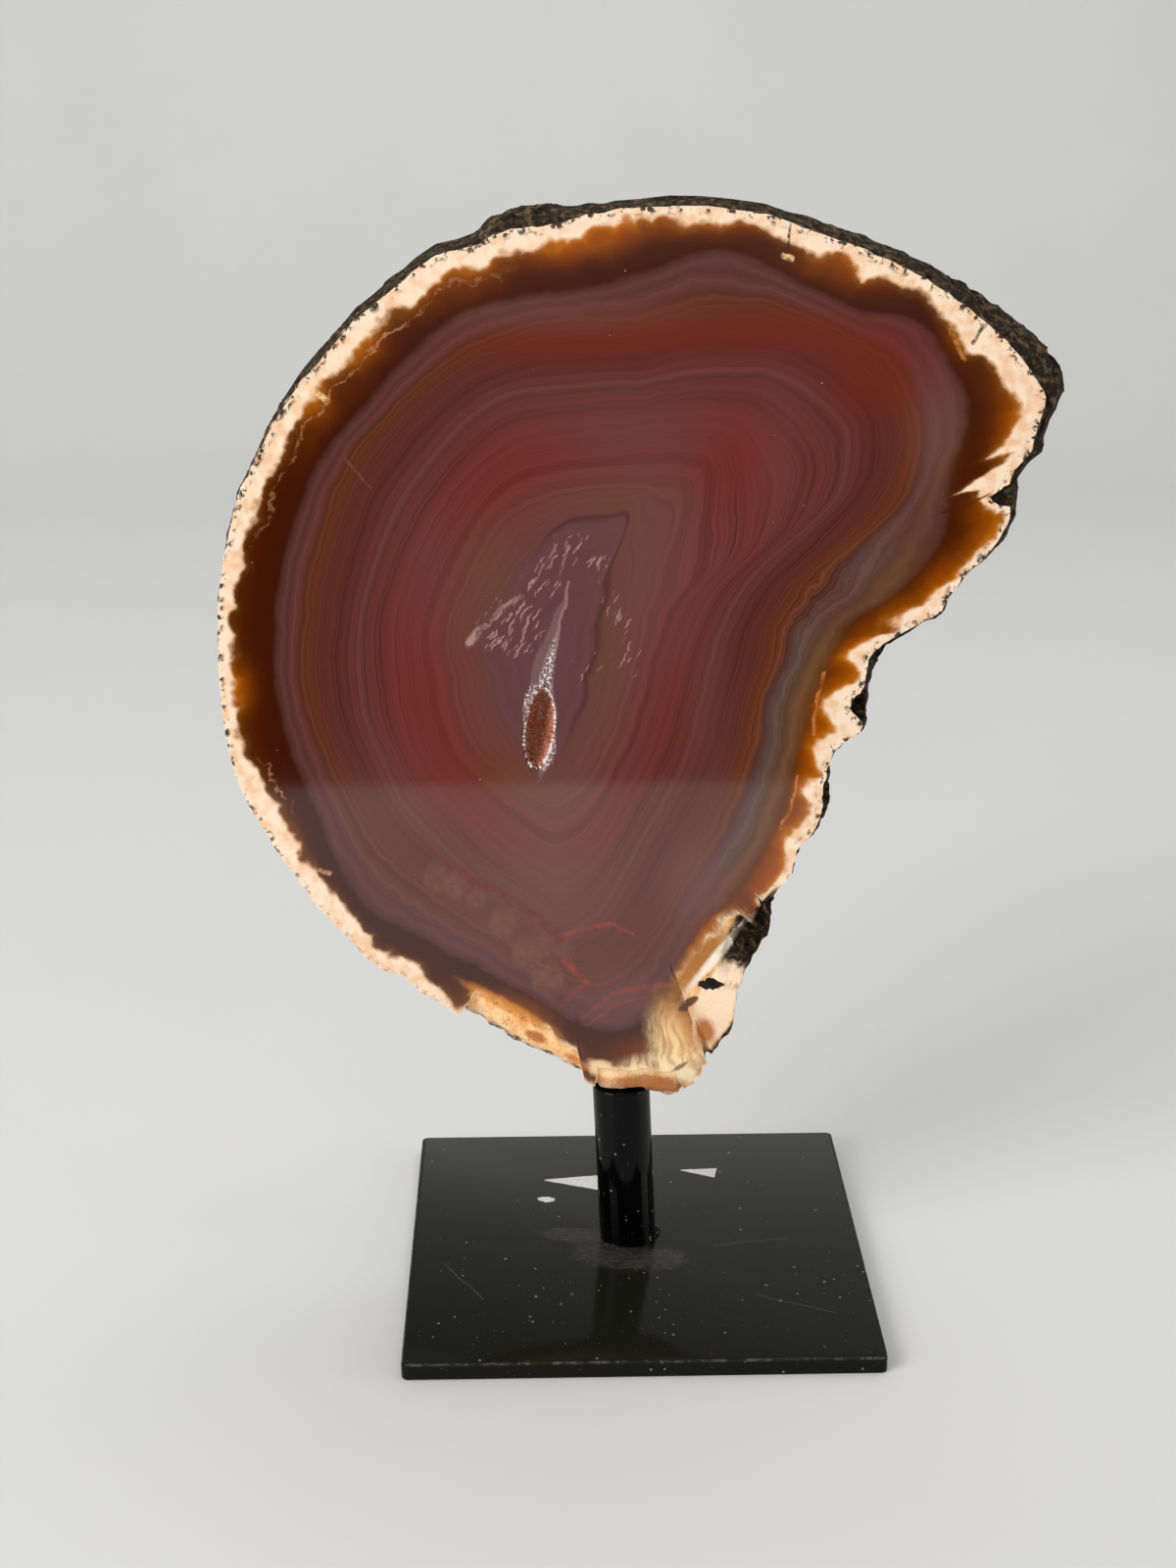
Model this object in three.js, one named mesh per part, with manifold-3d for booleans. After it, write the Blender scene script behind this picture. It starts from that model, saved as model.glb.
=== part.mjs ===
// A polished agate slice standing on a black steel stand.
// Millimetres, +Z up, +X to the right of the polished face, which looks towards -Y.
// The origin is the middle of the plate's underside.
import * as THREE from 'three';
import { mergeVertices } from 'three/addons/utils/BufferGeometryUtils.js';
import Module from 'manifold-3d';

// Stand
const PLATE_SIDE = 80;
const PLATE_THICKNESS = 3;
const PLATE_CORNER_RADIUS = 1.2;
const PLATE_EDGE_BEVEL = 0.3;
const POST_DIAMETER = 10;
const POST_TOP = 34;
const POST_FOOT_X = -1.3;
const POST_LEAN_DEGREES = 2.4;
const PIN_DIAMETER = 4;
const PIN_LENGTH = 10;
const WELD_RADIUS = 1.6;

// Slice
const SLICE_THICKNESS = 10;
const CLEARANCE = 0.3;
const RIND_LUMP = 0.35;
const POCKET_CENTRE = { x: -16.2, z: 100.6 };
const POCKET_SIZE = { x: 2.6, y: 4.4, z: 7.2 };
const POCKET_TILT_DEGREES = 7;
const CRUST_THICKNESS = 0.7;
const CRYSTAL_RADIUS = 0.75;
const CRYSTAL_HEIGHT = 1.7;

const FRONT = -SLICE_THICKNESS / 2;
const POST_HEIGHT = POST_TOP - PLATE_THICKNESS;
const LEAN = Math.tan(THREE.MathUtils.degToRad(POST_LEAN_DEGREES));

// Edge of the polished face, clockwise from the top: x, z, and how far the rind stands out behind it.
const FACE_EDGE = [
  [-3.5, 184, 0.5], [0, 184.2, 0.5], [5, 184.3, 0.7], [10, 184.3, 0.8], [15, 183.8, 0.8],
  [20, 183, 0.9], [25, 181.1, 1.3], [30, 179.3, 1.6], [35, 177.6, 1.6], [40, 175.4, 1.8],
  [45, 172.9, 2.1], [50, 169.6, 2.6], [55, 165.6, 3.3], [58, 163, 3.8], [60, 160.8, 4.5],
  [62, 158.3, 5], [63.6, 156, 5], [64.3, 154, 4.3], [63.8, 152, 3.8], [63.2, 150, 3.2],
  [62.8, 148, 3.2], [62.6, 146.3, 3.2], [61.5, 144.8, 3], [60, 143.3, 2.8], [59.2, 141.4, 2.8],
  [59, 139.4, 3], [59.4, 137.2, 2.5], [59.7, 135.6, 2.2], [59.2, 134, 2.2], [57.6, 131.2, 2.2],
  [56.4, 129.4, 2], [55, 127.8, 1.8], [53.4, 126.7, 1.6], [52.4, 125, 1.4], [51, 123.1, 1.3],
  [50, 121.8, 1.5], [49.4, 120, 1.8], [48, 119, 1.8], [46, 118, 1.8], [43.8, 116.8, 2],
  [42, 115.8, 2.2], [40, 114.6, 2.6], [38.4, 113, 2.8], [37.6, 111.2, 2.8], [37.4, 109.4, 2.2],
  [37.2, 107.8, 1.8], [36.6, 106, 2.2], [36.4, 103.8, 2.4], [36.7, 101.8, 2.2], [37.2, 100.6, 1.8],
  [36.8, 99.4, 1.6], [35.3, 98.4, 1.5], [33.6, 97.2, 1.5], [32.5, 96, 1.6], [32, 94.6, 1.5],
  [31.5, 93.2, 1.2], [31.4, 91.8, 1.4], [30.9, 90.2, 1.7], [30.8, 88.4, 2.2], [30.9, 86.8, 2.2],
  [30.6, 85, 2], [30, 83.3, 1.8], [29, 81.4, 1.6], [27.8, 80, 1.4], [26.8, 78.9, 1.4],
  [26.6, 77.5, 1.2], [26.1, 76.1, 1.2], [26, 74.5, 1.4], [25.2, 73.3, 1.4], [23.8, 71.9, 1.3],
  [22.8, 70.4, 1.4], [22.3, 68.4, 1.6], [22.2, 66, 1.8], [21.8, 63.6, 1.8], [21, 61.4, 1.6],
  [20, 59.4, 1.4], [19, 57.4, 1.3], [17.7, 55.2, 1.2], [17.4, 53.2, 1.1], [17, 51.2, 1],
  [16.7, 49, 1], [16.4, 46.8, 1], [16.6, 44.8, 0.9], [15.8, 43, 0.8], [14.2, 41.2, 0.7],
  [12.8, 39.8, 0.6], [11.6, 38, 0.6], [10.4, 36.2, 0.5], [9.2, 34.8, 0.4], [7.6, 33.6, 0.3],
  [5.6, 32.8, 0.2], [3, 33.4, 0.1], [0, 33.7, 0], [-3, 34, 0], [-5.4, 34.5, 0],
  [-7.6, 34.9, 0], [-9.4, 36.8, 0], [-11.6, 38.3, 0], [-14.5, 39.5, 0], [-18, 41, 0],
  [-21, 42.7, 0], [-24, 44.9, 0], [-27, 47, 0], [-30, 49, 0], [-33.4, 51.4, 0],
  [-36.6, 53.4, 0], [-38.6, 55.2, 0.1], [-40.2, 57, 0.2], [-42.8, 57.6, 0.3], [-45, 59.2, 0.3],
  [-46.8, 60.8, 0.2], [-48.4, 63.2, 0.1], [-50.2, 65.2, 0.1], [-52.6, 68, 0.2], [-55, 71.1, 0.3],
  [-57, 74.6, 0.2], [-59, 77.4, 0.1], [-60.6, 80.2, 0.1], [-62.2, 83.8, 0.2], [-64.4, 87, 0.3],
  [-65.5, 90.2, 0.3], [-66.8, 94, 0.3], [-67.5, 98, 0.3], [-68, 102.4, 0.3], [-68.3, 107, 0.4],
  [-68.3, 112, 0.4], [-68.1, 117, 0.5], [-67.8, 122, 0.5], [-67, 127.4, 0.5], [-66, 131.6, 0.5],
  [-64.8, 136, 0.6], [-63.7, 139.6, 0.6], [-61.4, 144, 0.7], [-58.8, 149, 0.7], [-56.2, 153.4, 0.8],
  [-53.2, 157.6, 0.8], [-50, 160.9, 0.9], [-47, 164.2, 1], [-44.2, 167.4, 1], [-41, 169.8, 1],
  [-37.6, 172.6, 1], [-34.6, 175, 0.9], [-31.4, 177.2, 0.8], [-28, 178, 0.8], [-25.2, 178.6, 1.2],
  [-22.6, 180.2, 2.2], [-19.4, 181.2, 2.6], [-15.6, 181.4, 2.9], [-12, 182, 2.3], [-9.6, 182.6, 1],
  [-7.4, 183.4, 0.6], [-5.4, 183.5, 0.5],
];

// Rings through the thickness: place between the faces, 0 front to 1 back, and share of the rind's stand-out.
const RIND_RINGS = [[0, 0], [0.12, 0.42], [0.34, 0.8], [0.6, 1], [0.85, 0.92], [1, 0.7]];

// Dark pits in the rind: x, z, place through the thickness, and the half sizes across, through and up.
const RIM_PITS = [
  [57.9, 139.2, 0.1, [2.3, 2.6, 1.9]],
  [36.6, 103.9, 0.15, [2.5, 2.8, 1.9]],
  [32.3, 88, 0.2, [1.7, 2.6, 1.6]],
  [19.6, 62, 0.16, [2.6, 2.2, 3.4]],
  [13, 54.2, 0.16, [1.9, 1.5, 1]],
  [40.2, 112.8, 0.3, [2, 2.4, 1.5]],
  [21.7, 68.6, 0.12, [1.5, 2, 1.4]],
  [66.4, 160, 0.55, [2.2, 2, 1.6]],
  [-15.5, 184.2, 0.5, [2.4, 2, 1.1]],
  [-45.2, 58.4, 0.2, [1.6, 1.6, 0.8]],
];

// Broken facets: a point on the break line, the way the facet falls back in degrees, its slope and its width.
const BROKEN_FACETS = [
  { x: 11.4, z: 60.9, fallsTo: -40, slope: 17, width: 17.5 },
  { x: 5.6, z: 48.5, fallsTo: -15, slope: 21, width: 14 },
  { x: -17.6, z: 47, fallsTo: -123, slope: 33, width: 24 },
  { x: 0.6, z: 38.4, fallsTo: -94, slope: 15, width: 15 },
];

const PAINT = new THREE.MeshStandardMaterial({ color: 0x15181a, roughness: 0.42, metalness: 0.2 });
const STONE = new THREE.MeshStandardMaterial({ color: 0x5d2f2c, roughness: 0.12, metalness: 0 });
const DRUSE = new THREE.MeshStandardMaterial({ color: 0xcfc3c4, roughness: 0.25, metalness: 0 });

const wasm = await Module();
wasm.setup();

function toSolid(geometry) {
  const bare = geometry.clone();
  bare.deleteAttribute('normal');
  bare.deleteAttribute('uv');
  const merged = mergeVertices(bare);
  return new wasm.Manifold(new wasm.Mesh({
    numProp: 3,
    vertProperties: merged.attributes.position.array,
    triVerts: Uint32Array.from(merged.index.array),
  }));
}

function toMesh(name, body, material) {
  const { vertProperties, triVerts } = body.getMesh();
  const geometry = new THREE.BufferGeometry();
  geometry.setAttribute('position', new THREE.BufferAttribute(vertProperties, 3));
  geometry.setIndex(new THREE.BufferAttribute(triVerts, 1));
  geometry.computeVertexNormals();
  return nameMesh(name, geometry, material);
}

function nameMesh(name, geometry, material) {
  const mesh = new THREE.Mesh(geometry, material.clone());
  mesh.name = name;
  return mesh;
}

// A many-faced lump with half sizes, turned about Y and moved to its place.
function lump([sizeX, sizeY, sizeZ], turnDegrees, x, y, z, detail = 1) {
  const geometry = new THREE.IcosahedronGeometry(1, detail);
  geometry.scale(sizeX, sizeY, sizeZ);
  geometry.rotateY(THREE.MathUtils.degToRad(turnDegrees));
  geometry.translate(x, y, z);
  return toSolid(geometry);
}

function basePlate() {
  const inset = PLATE_SIDE / 2 - PLATE_CORNER_RADIUS;
  const outline = new THREE.Shape();
  outline.absarc(inset, inset, PLATE_CORNER_RADIUS, 0, Math.PI / 2);
  outline.absarc(-inset, inset, PLATE_CORNER_RADIUS, Math.PI / 2, Math.PI);
  outline.absarc(-inset, -inset, PLATE_CORNER_RADIUS, Math.PI, Math.PI * 1.5);
  outline.absarc(inset, -inset, PLATE_CORNER_RADIUS, Math.PI * 1.5, Math.PI * 2);
  const geometry = new THREE.ExtrudeGeometry(outline, {
    depth: PLATE_THICKNESS - 2 * PLATE_EDGE_BEVEL,
    curveSegments: 4,
    bevelThickness: PLATE_EDGE_BEVEL,
    bevelSize: PLATE_EDGE_BEVEL,
    bevelOffset: -PLATE_EDGE_BEVEL,
    bevelSegments: 1,
  });
  geometry.translate(0, 0, PLATE_EDGE_BEVEL);
  return nameMesh('base_plate', geometry, PAINT);
}

// Bar with a turned-down pin on its axis. The lean is a shear, so foot and shoulder stay level.
function postSolid(radius, pinRadius, foot, shoulder, tip) {
  const profile = [
    new THREE.Vector2(0, foot),
    new THREE.Vector2(radius, foot),
    new THREE.Vector2(radius, shoulder),
    new THREE.Vector2(pinRadius, shoulder),
    new THREE.Vector2(pinRadius, tip),
    new THREE.Vector2(0, tip),
  ];
  const geometry = new THREE.LatheGeometry(profile, 40);
  geometry.rotateX(Math.PI / 2);
  geometry.applyMatrix4(new THREE.Matrix4().makeShear(0, 0, 0, 0, -LEAN, 0));
  geometry.translate(POST_FOOT_X + LEAN * PLATE_THICKNESS, 0, 0);
  return toSolid(geometry);
}

function post() {
  const radius = POST_DIAMETER / 2;
  const bar = postSolid(radius, PIN_DIAMETER / 2, PLATE_THICKNESS, POST_TOP, POST_TOP + PIN_LENGTH);
  const weldX = POST_FOOT_X + radius * 0.85;
  const weldY = radius * 0.5;
  const weld = lump([WELD_RADIUS, WELD_RADIUS, WELD_RADIUS], 0, weldX, weldY, PLATE_THICKNESS);
  const room = new THREE.BoxGeometry(PLATE_SIDE, PLATE_SIDE, POST_HEIGHT);
  room.translate(0, 0, PLATE_THICKNESS + POST_HEIGHT / 2);
  return toMesh('post', bar.add(weld.intersect(toSolid(room))), PAINT);
}

// Outward direction of the face's edge at a point, read over a few neighbours so that it turns slowly.
function edgeOutward(index) {
  const count = FACE_EDGE.length;
  const reach = 4;
  const before = FACE_EDGE[(index + count - reach) % count];
  const after = FACE_EDGE[(index + reach) % count];
  return new THREE.Vector2(before[1] - after[1], after[0] - before[0]).normalize();
}

function rindPoint(index, ring) {
  const [place, share] = RIND_RINGS[ring];
  const [x, z, standOut] = FACE_EDGE[index];
  const outward = edgeOutward(index);
  const wave = Math.sin(index * 2.3 + ring * 1.9) + Math.sin(index * 0.9 - ring * 2.7);
  const roughness = ring === 0 ? 0 : RIND_LUMP * share * wave / 2;
  const reach = standOut * share + roughness;
  return [x + outward.x * reach, FRONT + place * SLICE_THICKNESS, z + outward.y * reach];
}

// The sawn blank: rings of the outline from the polished face to the back, closed by two flat faces.
function sliceBlank() {
  const count = FACE_EDGE.length;
  const last = RIND_RINGS.length - 1;
  const points = RIND_RINGS.map((_, ring) => FACE_EDGE.map((__, index) => rindPoint(index, ring)));
  const triangles = [];
  for (let ring = 0; ring < last; ring += 1) {
    for (let index = 0; index < count; index += 1) {
      const next = (index + 1) % count;
      const here = ring * count;
      const behind = here + count;
      triangles.push(here + index, here + next, behind + next);
      triangles.push(here + index, behind + next, behind + index);
    }
  }
  for (const ring of [0, last]) {
    const flat = points[ring].map(([x, , z]) => new THREE.Vector2(x, z));
    for (const corners of THREE.ShapeUtils.triangulateShape(flat, [])) {
      const ordered = ring === 0 ? corners : [...corners].reverse();
      triangles.push(...ordered.map((corner) => ring * count + corner));
    }
  }
  const geometry = new THREE.BufferGeometry();
  geometry.setAttribute('position', new THREE.Float32BufferAttribute(points.flat(2), 3));
  geometry.setIndex(triangles);
  return toSolid(geometry);
}

// Cutter whose underside is one broken facet, falling back from its line on the polished face.
function brokenFacet({ x, z, fallsTo, slope, width }) {
  const reach = 24;
  const height = 30;
  const geometry = new THREE.BoxGeometry(reach, height, width);
  geometry.translate(reach / 2, -height / 2, 0);
  geometry.rotateZ(THREE.MathUtils.degToRad(slope));
  geometry.rotateY(THREE.MathUtils.degToRad(-fallsTo));
  geometry.translate(x, FRONT, z);
  return toSolid(geometry);
}

function pocket(gap, detail) {
  const { x, y, z } = POCKET_SIZE;
  const size = [x - gap, y - gap, z - gap];
  return lump(size, POCKET_TILT_DEGREES, POCKET_CENTRE.x, FRONT, POCKET_CENTRE.z, detail);
}

function agateSlice() {
  let body = sliceBlank();
  for (const facet of BROKEN_FACETS) {
    body = body.subtract(brokenFacet(facet));
  }
  for (const [x, z, place, size] of RIM_PITS) {
    body = body.subtract(lump(size, x * 7, x, FRONT + place * SLICE_THICKNESS, z));
  }
  const seat = postSolid(
    POST_DIAMETER / 2 + CLEARANCE,
    PIN_DIAMETER / 2 + CLEARANCE,
    PLATE_THICKNESS,
    POST_TOP + CLEARANCE,
    POST_TOP + PIN_LENGTH + CLEARANCE,
  );
  body = body.subtract(seat).subtract(pocket(0, 2));
  return toMesh('agate_slice', body, STONE);
}

// Six-sided crystal with a pointed tip, standing on the pocket's wall and pointing at the middle of its mouth.
function crystal(turn, rise, size) {
  const radius = CRYSTAL_RADIUS * size;
  const tall = CRYSTAL_HEIGHT * size;
  const profile = [
    new THREE.Vector2(0, -CRUST_THICKNESS),
    new THREE.Vector2(radius, -CRUST_THICKNESS),
    new THREE.Vector2(radius, tall * 0.5),
    new THREE.Vector2(0, tall),
  ];
  const geometry = new THREE.LatheGeometry(profile, 6);
  const inner = CRUST_THICKNESS + CLEARANCE;
  const wall = new THREE.Vector3(
    Math.cos(turn) * Math.cos(rise) * (POCKET_SIZE.x - inner),
    Math.sin(rise) * (POCKET_SIZE.y - inner),
    Math.sin(turn) * Math.cos(rise) * (POCKET_SIZE.z - inner),
  );
  const towards = new THREE.Vector3(0, 0, wall.z * 0.75).sub(wall).normalize();
  geometry.applyQuaternion(new THREE.Quaternion().setFromUnitVectors(new THREE.Vector3(0, 1, 0), towards));
  geometry.translate(wall.x, wall.y, wall.z);
  geometry.rotateY(THREE.MathUtils.degToRad(POCKET_TILT_DEGREES));
  geometry.translate(POCKET_CENTRE.x, FRONT, POCKET_CENTRE.z);
  return toSolid(geometry);
}

function vugCrystals() {
  const room = new THREE.BoxGeometry(PLATE_SIDE, SLICE_THICKNESS, PLATE_SIDE);
  room.translate(POCKET_CENTRE.x, FRONT + SLICE_THICKNESS / 2, POCKET_CENTRE.z);
  const lining = pocket(CLEARANCE, 2);
  let crust = lining.subtract(pocket(CLEARANCE + CRUST_THICKNESS, 2));
  const crystalRows = [
    { rise: 0.18, count: 13 },
    { rise: 0.62, count: 10 },
    { rise: 1.1, count: 6 },
  ];
  for (const { rise, count } of crystalRows) {
    for (let index = 0; index < count; index += 1) {
      const turn = (index + rise) / count * Math.PI * 2;
      const size = 0.8 + 0.3 * Math.sin(index * 2.4 + rise * 5);
      crust = crust.add(crystal(turn, rise, size));
    }
  }
  return toMesh('vug_crystals', crust.intersect(lining).intersect(toSolid(room)), DRUSE);
}

const agateOnStand = new THREE.Group();
agateOnStand.add(basePlate(), post(), agateSlice(), vugCrystals());

export default agateOnStand;
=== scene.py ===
# %% [markdown]
# # A polished agate slice on a black steel stand
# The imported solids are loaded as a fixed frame. Everything below gives them their looks: the banded stone,
# its rough rind and broken corner, the crystals in its small pocket, and the painted stand.

# %% Load the frame
import math

import bpy
import numpy as np
from mathutils import Matrix, Vector, noise
from mathutils.bvhtree import BVHTree


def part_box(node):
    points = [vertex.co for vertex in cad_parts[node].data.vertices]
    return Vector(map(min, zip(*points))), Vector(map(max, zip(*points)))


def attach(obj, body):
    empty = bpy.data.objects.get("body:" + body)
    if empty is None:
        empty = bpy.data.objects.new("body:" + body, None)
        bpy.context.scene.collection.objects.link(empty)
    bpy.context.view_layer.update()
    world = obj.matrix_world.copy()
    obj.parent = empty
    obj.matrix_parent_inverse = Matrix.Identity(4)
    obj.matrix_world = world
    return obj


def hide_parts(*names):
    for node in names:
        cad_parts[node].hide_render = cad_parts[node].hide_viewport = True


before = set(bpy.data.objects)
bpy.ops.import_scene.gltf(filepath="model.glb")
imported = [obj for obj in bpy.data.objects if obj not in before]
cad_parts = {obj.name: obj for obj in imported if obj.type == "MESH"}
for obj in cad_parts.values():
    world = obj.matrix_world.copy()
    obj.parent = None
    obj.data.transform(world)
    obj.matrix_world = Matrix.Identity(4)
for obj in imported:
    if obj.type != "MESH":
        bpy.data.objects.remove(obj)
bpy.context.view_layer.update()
MM = 0.001

# %% [markdown]
# ## Camera
# The view looks a little down on the polished face, from just left of its middle. Its place and turn come
# from the four corners of the square plate, and its lens from the width that the plate takes in the image.

# %% Camera
IMAGE_HEIGHT = 1600
FOCAL_PIXELS = 2404
SENSOR = 36.0
CAMERA_PLACE = Vector((-15.71, -374.18, 217.10)) * MM
LOOK_DOWN = math.radians(18.855)
LOOK_RIGHT = math.radians(1.155)
ROLL = math.radians(-0.232)

level_right = Vector((math.cos(LOOK_RIGHT), -math.sin(LOOK_RIGHT), 0))
level_ahead = Vector((math.sin(LOOK_RIGHT), math.cos(LOOK_RIGHT), 0))
ahead = level_ahead * math.cos(LOOK_DOWN) - Vector((0, 0, math.sin(LOOK_DOWN)))
level_up = level_right.cross(ahead)
right = level_right * math.cos(ROLL) + level_up * math.sin(ROLL)
up = right.cross(ahead)


def added(name, operator, **settings):
    """Adds a new object with nothing else selected, and names it."""
    bpy.ops.object.select_all(action="DESELECT")
    operator(**settings)
    piece = bpy.context.object
    piece.name = name
    return piece


camera = added("camera", bpy.ops.object.camera_add, location=CAMERA_PLACE)
turn = Matrix((right, up, -ahead)).transposed()
camera.rotation_euler = turn.to_euler()
camera.data.sensor_width = SENSOR
camera.data.lens = FOCAL_PIXELS / IMAGE_HEIGHT * SENSOR
camera.data.clip_start = 0.01
bpy.context.scene.camera = camera
print("camera lens in mm:", round(camera.data.lens, 2))

# %% [markdown]
# ## Shader helpers
# A material is a tree of small nodes. These helpers add one node each and give back its output, so that a
# recipe reads from top to bottom. Colours are given on the 0 to 255 scale and turned into linear light.


# %% Node helpers
def pigment(red, green, blue):
    """A colour on the 0 to 255 scale, as the linear colour that a shader takes."""
    def linear(value):
        share = value / 255
        return share / 12.92 if share <= 0.04045 else ((share + 0.055) / 1.055) ** 2.4
    return (linear(red), linear(green), linear(blue), 1.0)


def feed(socket, value):
    """Links a socket to another one, or sets it to a plain value."""
    if isinstance(value, bpy.types.NodeSocket):
        socket.id_data.links.new(value, socket)
    elif value is not None:
        socket.default_value = value


def new_node(kind, *near):
    """A node of a kind, in the tree that the first socket near it belongs to."""
    tree = next(value.id_data for value in near if isinstance(value, bpy.types.NodeSocket))
    return tree.nodes.new("ShaderNode" + kind)


def calc(operation, *values):
    """One Math node."""
    node = new_node("Math", *values)
    node.operation = operation
    for socket, value in zip(node.inputs, values):
        feed(socket, value)
    return node.outputs[0]


def times(product, *values):
    """The product of several values."""
    for value in values:
        product = calc("MULTIPLY", product, value)
    return product


def scaled(value, factor, plus):
    """A value times a factor, plus another value."""
    return calc("MULTIPLY_ADD", value, factor, plus)


def largest(mask, *masks):
    """The largest of several masks."""
    for other in masks:
        mask = calc("MAXIMUM", mask, other)
    return mask


def vector_calc(operation, *values):
    """One Vector Math node. Scale takes its factor as the last value."""
    node = new_node("VectorMath", *values)
    node.operation = operation
    if operation == "SCALE":
        feed(node.inputs[0], values[0])
        feed(node.inputs["Scale"], values[1])
        return node.outputs["Vector"]
    for socket, value in zip(node.inputs, values):
        feed(socket, value)
    return node.outputs["Value" if operation in ("LENGTH", "DOT_PRODUCT") else "Vector"]


def dot(first, second):
    """How far one vector reaches along another, times the other's length."""
    return vector_calc("DOT_PRODUCT", first, second)


def stretched(place, factors):
    """The place, stretched along its axes."""
    return vector_calc("MULTIPLY", place, factors)


def parts_of(value, kind="XYZ"):
    """The three parts of a vector, or of a colour."""
    node = new_node("Separate" + kind, value)
    feed(node.inputs[0], value)
    return node.outputs


def blend(amount, first, second):
    """Mixes two colours by an amount from 0 to 1."""
    node = new_node("Mix", amount, first, second)
    node.data_type = "RGBA"
    feed(node.inputs["Factor"], amount)
    feed(node.inputs[6], first)
    feed(node.inputs[7], second)
    return node.outputs[2]


def ease(value, low, high, start=0.0, end=1.0):
    """A smooth step from start to end while the value goes from low to high."""
    node = new_node("MapRange", value)
    node.interpolation_type = "SMOOTHSTEP"
    for socket, given in zip(node.inputs, (value, low, high, start, end)):
        feed(socket, given)
    return node.outputs[0]


def cloud(place, scale, detail=2.0, rough=0.5, line=None):
    """Noise from 0 to 1. With a line value it is stripes along that value."""
    node = new_node("TexNoise", place, line)
    node.noise_dimensions = "1D" if line is not None else "3D"
    feed(node.inputs["W" if line is not None else "Vector"], line if line is not None else place)
    for name, value in (("Scale", scale), ("Detail", detail), ("Roughness", rough)):
        feed(node.inputs[name], value)
    return node.outputs["Fac"]


def cells(place, scale):
    """Distance from the middle of random cells, and each cell's own random colour."""
    node = new_node("TexVoronoi", place)
    feed(node.inputs["Vector"], place)
    feed(node.inputs["Scale"], scale)
    return node.outputs["Distance"], node.outputs["Color"]


def stripes(value, stops, span=1.0):
    """A colour ramp over values from 0 to span."""
    node = new_node("ValToRGB", value)
    feed(node.inputs["Fac"], calc("DIVIDE", value, span))
    ramp = node.color_ramp
    while len(ramp.elements) < len(stops):
        ramp.elements.new(0.5)
    for element, (stop, colour) in zip(ramp.elements, stops):
        element.position = stop / span
        element.color = colour
    return node.outputs["Color"]


def attribute(tree, name):
    """One of the piece's own values, stored on its points."""
    node = tree.nodes.new("ShaderNodeAttribute")
    node.attribute_name = name
    return node.outputs["Fac"]


def place_mm(tree):
    """Object coordinates in millimetres."""
    node = tree.nodes.new("ShaderNodeTexCoord")
    return vector_calc("SCALE", node.outputs["Object"], 1 / MM)


def new_material(name):
    """An empty material with its one shader."""
    material = bpy.data.materials.new(name)
    material.use_nodes = True
    return material, material.node_tree, material.node_tree.nodes["Principled BSDF"]


# %% [markdown]
# ## Effects that several finishes share
# Fine dust lies on the paint and on the stone, and both carry small marks with ragged edges: flakes of
# white residue on the plate, breaks and stains in the stone. Scratches and healed cracks are hairlines.
# Each effect is a node group with its own values.


# %% Shared groups
def new_group(name, inputs):
    """A shader node group with named sockets and one mask: its tree, what it is given and its result."""
    tree = bpy.data.node_groups.new(name, "ShaderNodeTree")
    for label, value in inputs.items():
        kind = "NodeSocketVector" if isinstance(value, tuple) else "NodeSocketFloat"
        socket = tree.interface.new_socket(label, in_out="INPUT", socket_type=kind)
        socket.default_value = value
    tree.interface.new_socket("Mask", in_out="OUTPUT", socket_type="NodeSocketFloat")
    given = tree.nodes.new("NodeGroupInput").outputs
    return tree, given, tree.nodes.new("NodeGroupOutput").inputs["Mask"]


def make_dust():
    """Small pale specks scattered over a surface."""
    tree, given, result = new_group("dust_specks", {"Density": 0.4, "Size": 0.1, "Grain": 0.42})
    place = place_mm(tree)
    near, chance = cells(vector_calc("SCALE", place, given["Grain"]), 1.0)
    speck = calc("LESS_THAN", near, times(given["Size"], cloud(place, 0.9)))
    kept = calc("LESS_THAN", parts_of(chance, "Color")[0], given["Density"])
    feed(result, times(speck, kept))
    return tree


def make_patch():
    """One mark with ragged edges: its middle and half sizes in mm, its turn, and how torn its edge is."""
    tree, given, result = new_group("ragged_patch", {
        "Place": (0, 0, 0), "Tear": 0.0, "Middle": (0, 0, 0), "Half Size": (1, 1, 1), "Axis": (0, 0, 1),
        "Turn": 0.0, "Raggedness": 0.3, "Softness": 0.1,
    })
    turned = new_node("VectorRotate", result)
    feed(turned.inputs["Vector"], vector_calc("SUBTRACT", given["Place"], given["Middle"]))
    feed(turned.inputs["Axis"], given["Axis"])
    feed(turned.inputs["Angle"], given["Turn"])
    reach = vector_calc("LENGTH", vector_calc("DIVIDE", turned.outputs[0], given["Half Size"]))
    ragged = scaled(given["Tear"], given["Raggedness"], reach)
    low = calc("SUBTRACT", 1.0, given["Softness"])
    high = calc("ADD", 1.0, given["Softness"])
    feed(result, ease(ragged, low, high, 1.0, 0.0))
    return tree


def make_hairline():
    """A crack or scratch between two places in mm. Plane drops the direction that it doesn't depend on."""
    tree, given, result = new_group("hairline", {
        "Place": (0, 0, 0), "Start": (0, 0, 0), "End": (1, 0, 0), "Plane": (1, 0, 1), "Width": 0.2,
    })
    flat = stretched(given["Place"], given["Plane"])
    run = vector_calc("SUBTRACT", given["End"], given["Start"])
    out = vector_calc("SUBTRACT", flat, given["Start"])
    along = calc("DIVIDE", dot(out, run), dot(run, run))
    held = calc("MINIMUM", calc("MAXIMUM", along, 0.0), 1.0)
    nearest = vector_calc("SCALE", run, held)
    away = vector_calc("LENGTH", vector_calc("SUBTRACT", out, nearest))
    core = times(given["Width"], 0.4)
    feed(result, ease(away, core, given["Width"], 1.0, 0.0))
    return tree


DUST = make_dust()
PATCH = make_patch()
HAIRLINE = make_hairline()


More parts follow.
